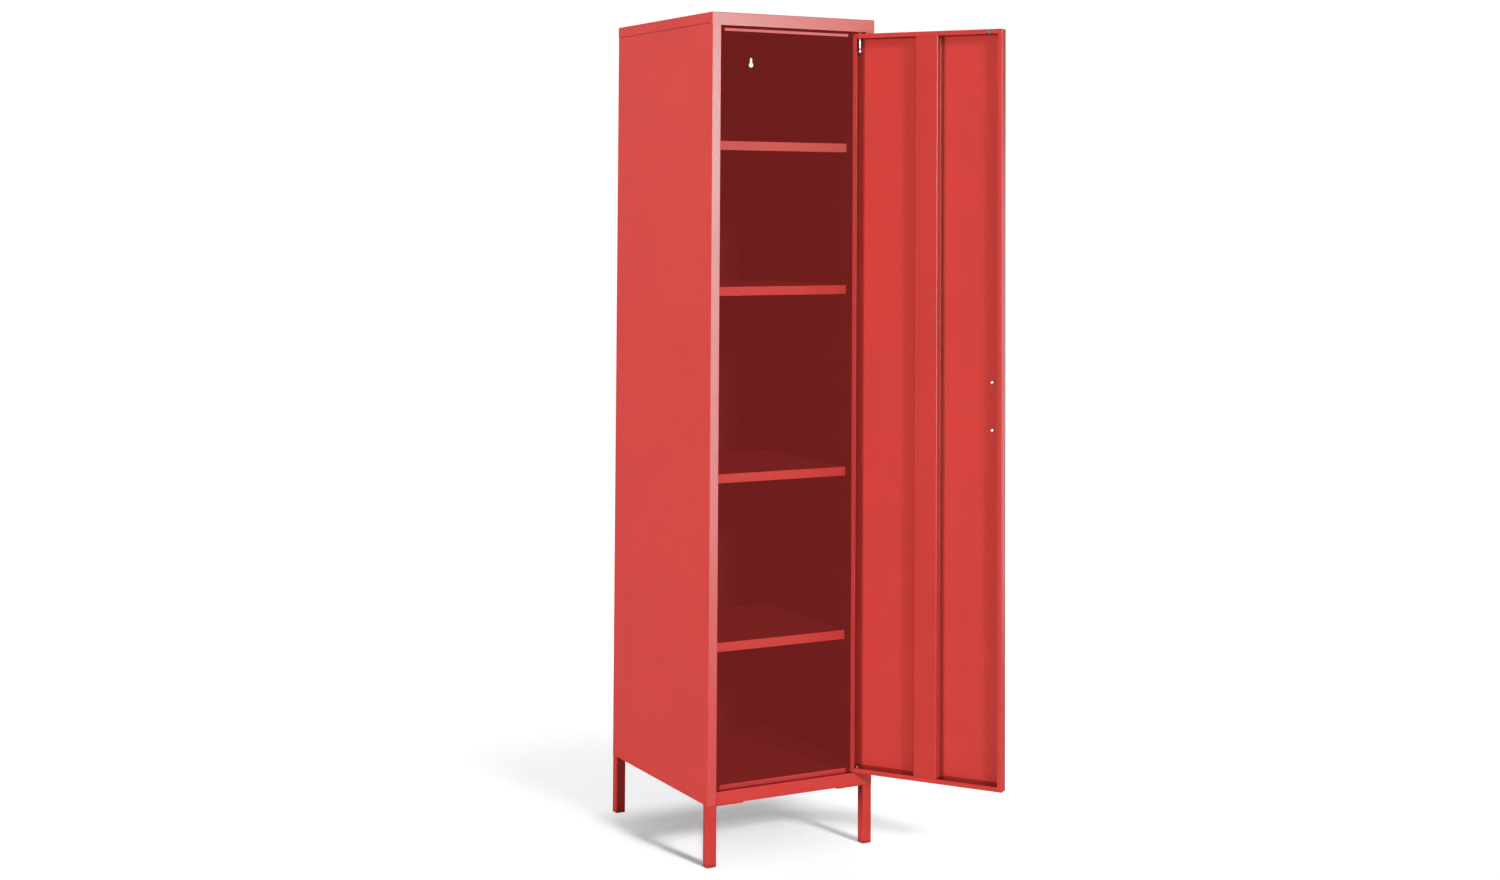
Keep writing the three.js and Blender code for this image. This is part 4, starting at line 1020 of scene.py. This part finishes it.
def softbox(name, centre, towards, w, h, radiance, colour=(1, 1, 1)):
    """Area light given by its radiance, facing 'towards'."""
    d = bpy.data.lights.new(name, "AREA")
    d.shape = "RECTANGLE"
    d.size, d.size_y = w, h
    d.energy = radiance * w * h * math.pi * 1.0
    d.color = colour
    o = bpy.data.objects.new(name, d)
    scene.collection.objects.link(o)
    o.location = centre
    aim(o, Vector(towards) - Vector(centre))
    return o


KEY = 0.46  # irradiance / pi of the key light
FLOOR_KEY = 0.52  # more of the same light on the floor only
FILL = 0.485
AMBIENT = 0.34
key = sun("key", 6, 24.5, 9, KEY * math.pi)
floor_key = sun("floor_key", 10, 26.5, 10, FLOOR_KEY * math.pi)
receivers = bpy.data.collections.new("floor_only")
receivers.objects.link(floor)
floor_key.light_linking.receiver_collection = receivers
fill_dir = direction(-82, 10)
FILL_FAR = 7.0
fill_at = Vector((CX, CY - 0.2, 0.85)) + fill_dir * FILL_FAR
fill = softbox("fill", fill_at, (CX, CY - 0.2, 0.85), 0.5, 0.9, 1.0)
fill.data.energy = FILL * math.pi * FILL_FAR**2 * math.pi  # E = P / (pi d^2)
fill.visible_glossy = False
lit_pieces = bpy.data.collections.new("object_only")
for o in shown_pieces():
    lit_pieces.objects.link(o)
fill.light_linking.receiver_collection = lit_pieces
# the same key on the shelves, past the door and the hinge stile
boards = bpy.data.collections.new("shelves_only")
others = bpy.data.collections.new("all_but_shelves")
others.objects.link(floor)
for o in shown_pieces():
    (boards if o.name.startswith("shelf_board") else others).objects.link(o)
key.light_linking.receiver_collection = others
shelf_key = sun("shelf_key", 6, 24.5, 9, KEY * math.pi)
shelf_key.light_linking.receiver_collection = boards
shelf_key.light_linking.blocker_collection = boards
# a second window behind, for the faces turned away from the key
behind = sun("behind", 128, 24, 14, 0.36 * math.pi)
behind.light_linking.receiver_collection = lit_pieces
painted = bpy.data.collections.new("painted_only")
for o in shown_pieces():
    if o.name in ("cabinet_side_left", "cabinet_side_right", "cabinet_cap", "door_pan", "door_hat_channel"):
        painted.objects.link(o)
SHEEN = 26.0
for k, (z0, z1, x0, x1, share) in enumerate(
    (
        (1.35, 1.80, 0.25, 1.40, 1.58),
        (1.80, 2.35, 0.25, 1.28, 0.60),
        (0.90, 1.35, 0.25, 1.40, 0.38),
        (0.45, 0.90, 0.25, 1.45, 0.60),
        (0.20, 0.45, 0.25, 1.45, 0.72),
        (1.50, 2.45, 1.28, 1.70, 0.11),
        (1.50, 2.45, 1.70, 2.55, 0.01),
    )
):
    at = Vector(((x0 + x1) / 2, -2.7, (z0 + z1) / 2))
    o = softbox("sheen_%d" % k, at, at + Vector((-0.30, 1.0, 0.0)), (x1 - x0) * 1.04, z1 - z0, SHEEN * share, (0.28, 1.0, 1.0))
    o.visible_diffuse = False
    o.light_linking.receiver_collection = painted
rim = softbox("sheen_right", (3.0, 0.3, 0.6), (0.5, -0.28, 0.8), 1.4, 1.8, 1.38, (0.9, 1, 1))
rim.visible_diffuse = False
door_only = bpy.data.collections.new("door_only")
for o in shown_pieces():
    if o.name == "door_pan":
        door_only.objects.link(o)
rim.light_linking.receiver_collection = door_only

hardware = bpy.data.collections.new("hardware_only")
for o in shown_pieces():
    if o.data.materials[0] is zinc:
        hardware.objects.link(o)
for k, (at, to, w, h, radiance) in enumerate(
    (
        ((-2.6, -2.2, 1.5), (0.4, -0.2, 1.3), 2.4, 2.4, 6.0),
        ((1.6, -2.6, 1.6), (0.4, -0.2, 1.3), 1.2, 2.0, 5.0),
    )
):
    o = softbox("hardware_%d" % k, at, to, w, h, radiance)
    o.visible_diffuse = False
    o.light_linking.receiver_collection = hardware

world = bpy.data.worlds.new("world")
scene.world = world
world.use_nodes = True
wt = world.node_tree
wt.nodes.clear()
wn = Nodes(wt)
path = wn.add("ShaderNodeLightPath")
lit = wn.add("ShaderNodeBackground", inputs={"Color": (1, 1, 1, 1), "Strength": AMBIENT})
seen = wn.add("ShaderNodeBackground", inputs={"Color": (1, 1, 1, 1), "Strength": 1.05})
wmix = wn.add("ShaderNodeMixShader", inputs={0: path.outputs["Is Camera Ray"], 1: lit.outputs[0], 2: seen.outputs[0]})
wout = wn.add("ShaderNodeOutputWorld")
wn.put(wout.inputs[0], wmix.outputs[0])

cam_data = bpy.data.cameras.new("camera")
camera = bpy.data.objects.new("camera", cam_data)
scene.collection.objects.link(camera)
scene.camera = camera
EYE = Vector((round(CX - 2.10396, 6), round(CY - 4.06139, 6), 1.2994952))
right = Vector((0.87630763, -0.48172496, 0.00509925)).normalized()
forward = Vector((0.48114501, 0.87568574, 0.04091408)).normalized()
up = right.cross(forward).normalized()
right = forward.cross(up).normalized()
camera.rotation_mode = "QUATERNION"
camera.location = EYE
camera.rotation_quaternion = Matrix((right, up, -forward)).transposed().to_quaternion()
cam_data.sensor_width = 36
cam_data.lens = 51.278
cam_data.clip_start, cam_data.clip_end = 0.05, 200


def shift_driver(channel, value):
    """The lens shift of the main view only: it drops out when the camera is moved for another view."""
    d = cam_data.driver_add(channel).driver
    d.type = "SCRIPTED"
    v = d.variables.new()
    v.name = "x"
    v.type = "SINGLE_PROP"
    v.targets[0].id = camera
    v.targets[0].data_path = "location[0]"
    d.expression = "%.6f if abs(x - (%.5f)) < 0.001 else 0.0" % (value, EYE.x)


shift_driver("shift_x", -0.030050)
shift_driver("shift_y", -0.210822)

scene.view_settings.view_transform = "Standard"
scene.view_settings.look = "None"
scene.view_settings.exposure = 0
scene.view_settings.gamma = 1

# ---------------------------------------------------------------- update the view layer
bpy.context.view_layer.update()
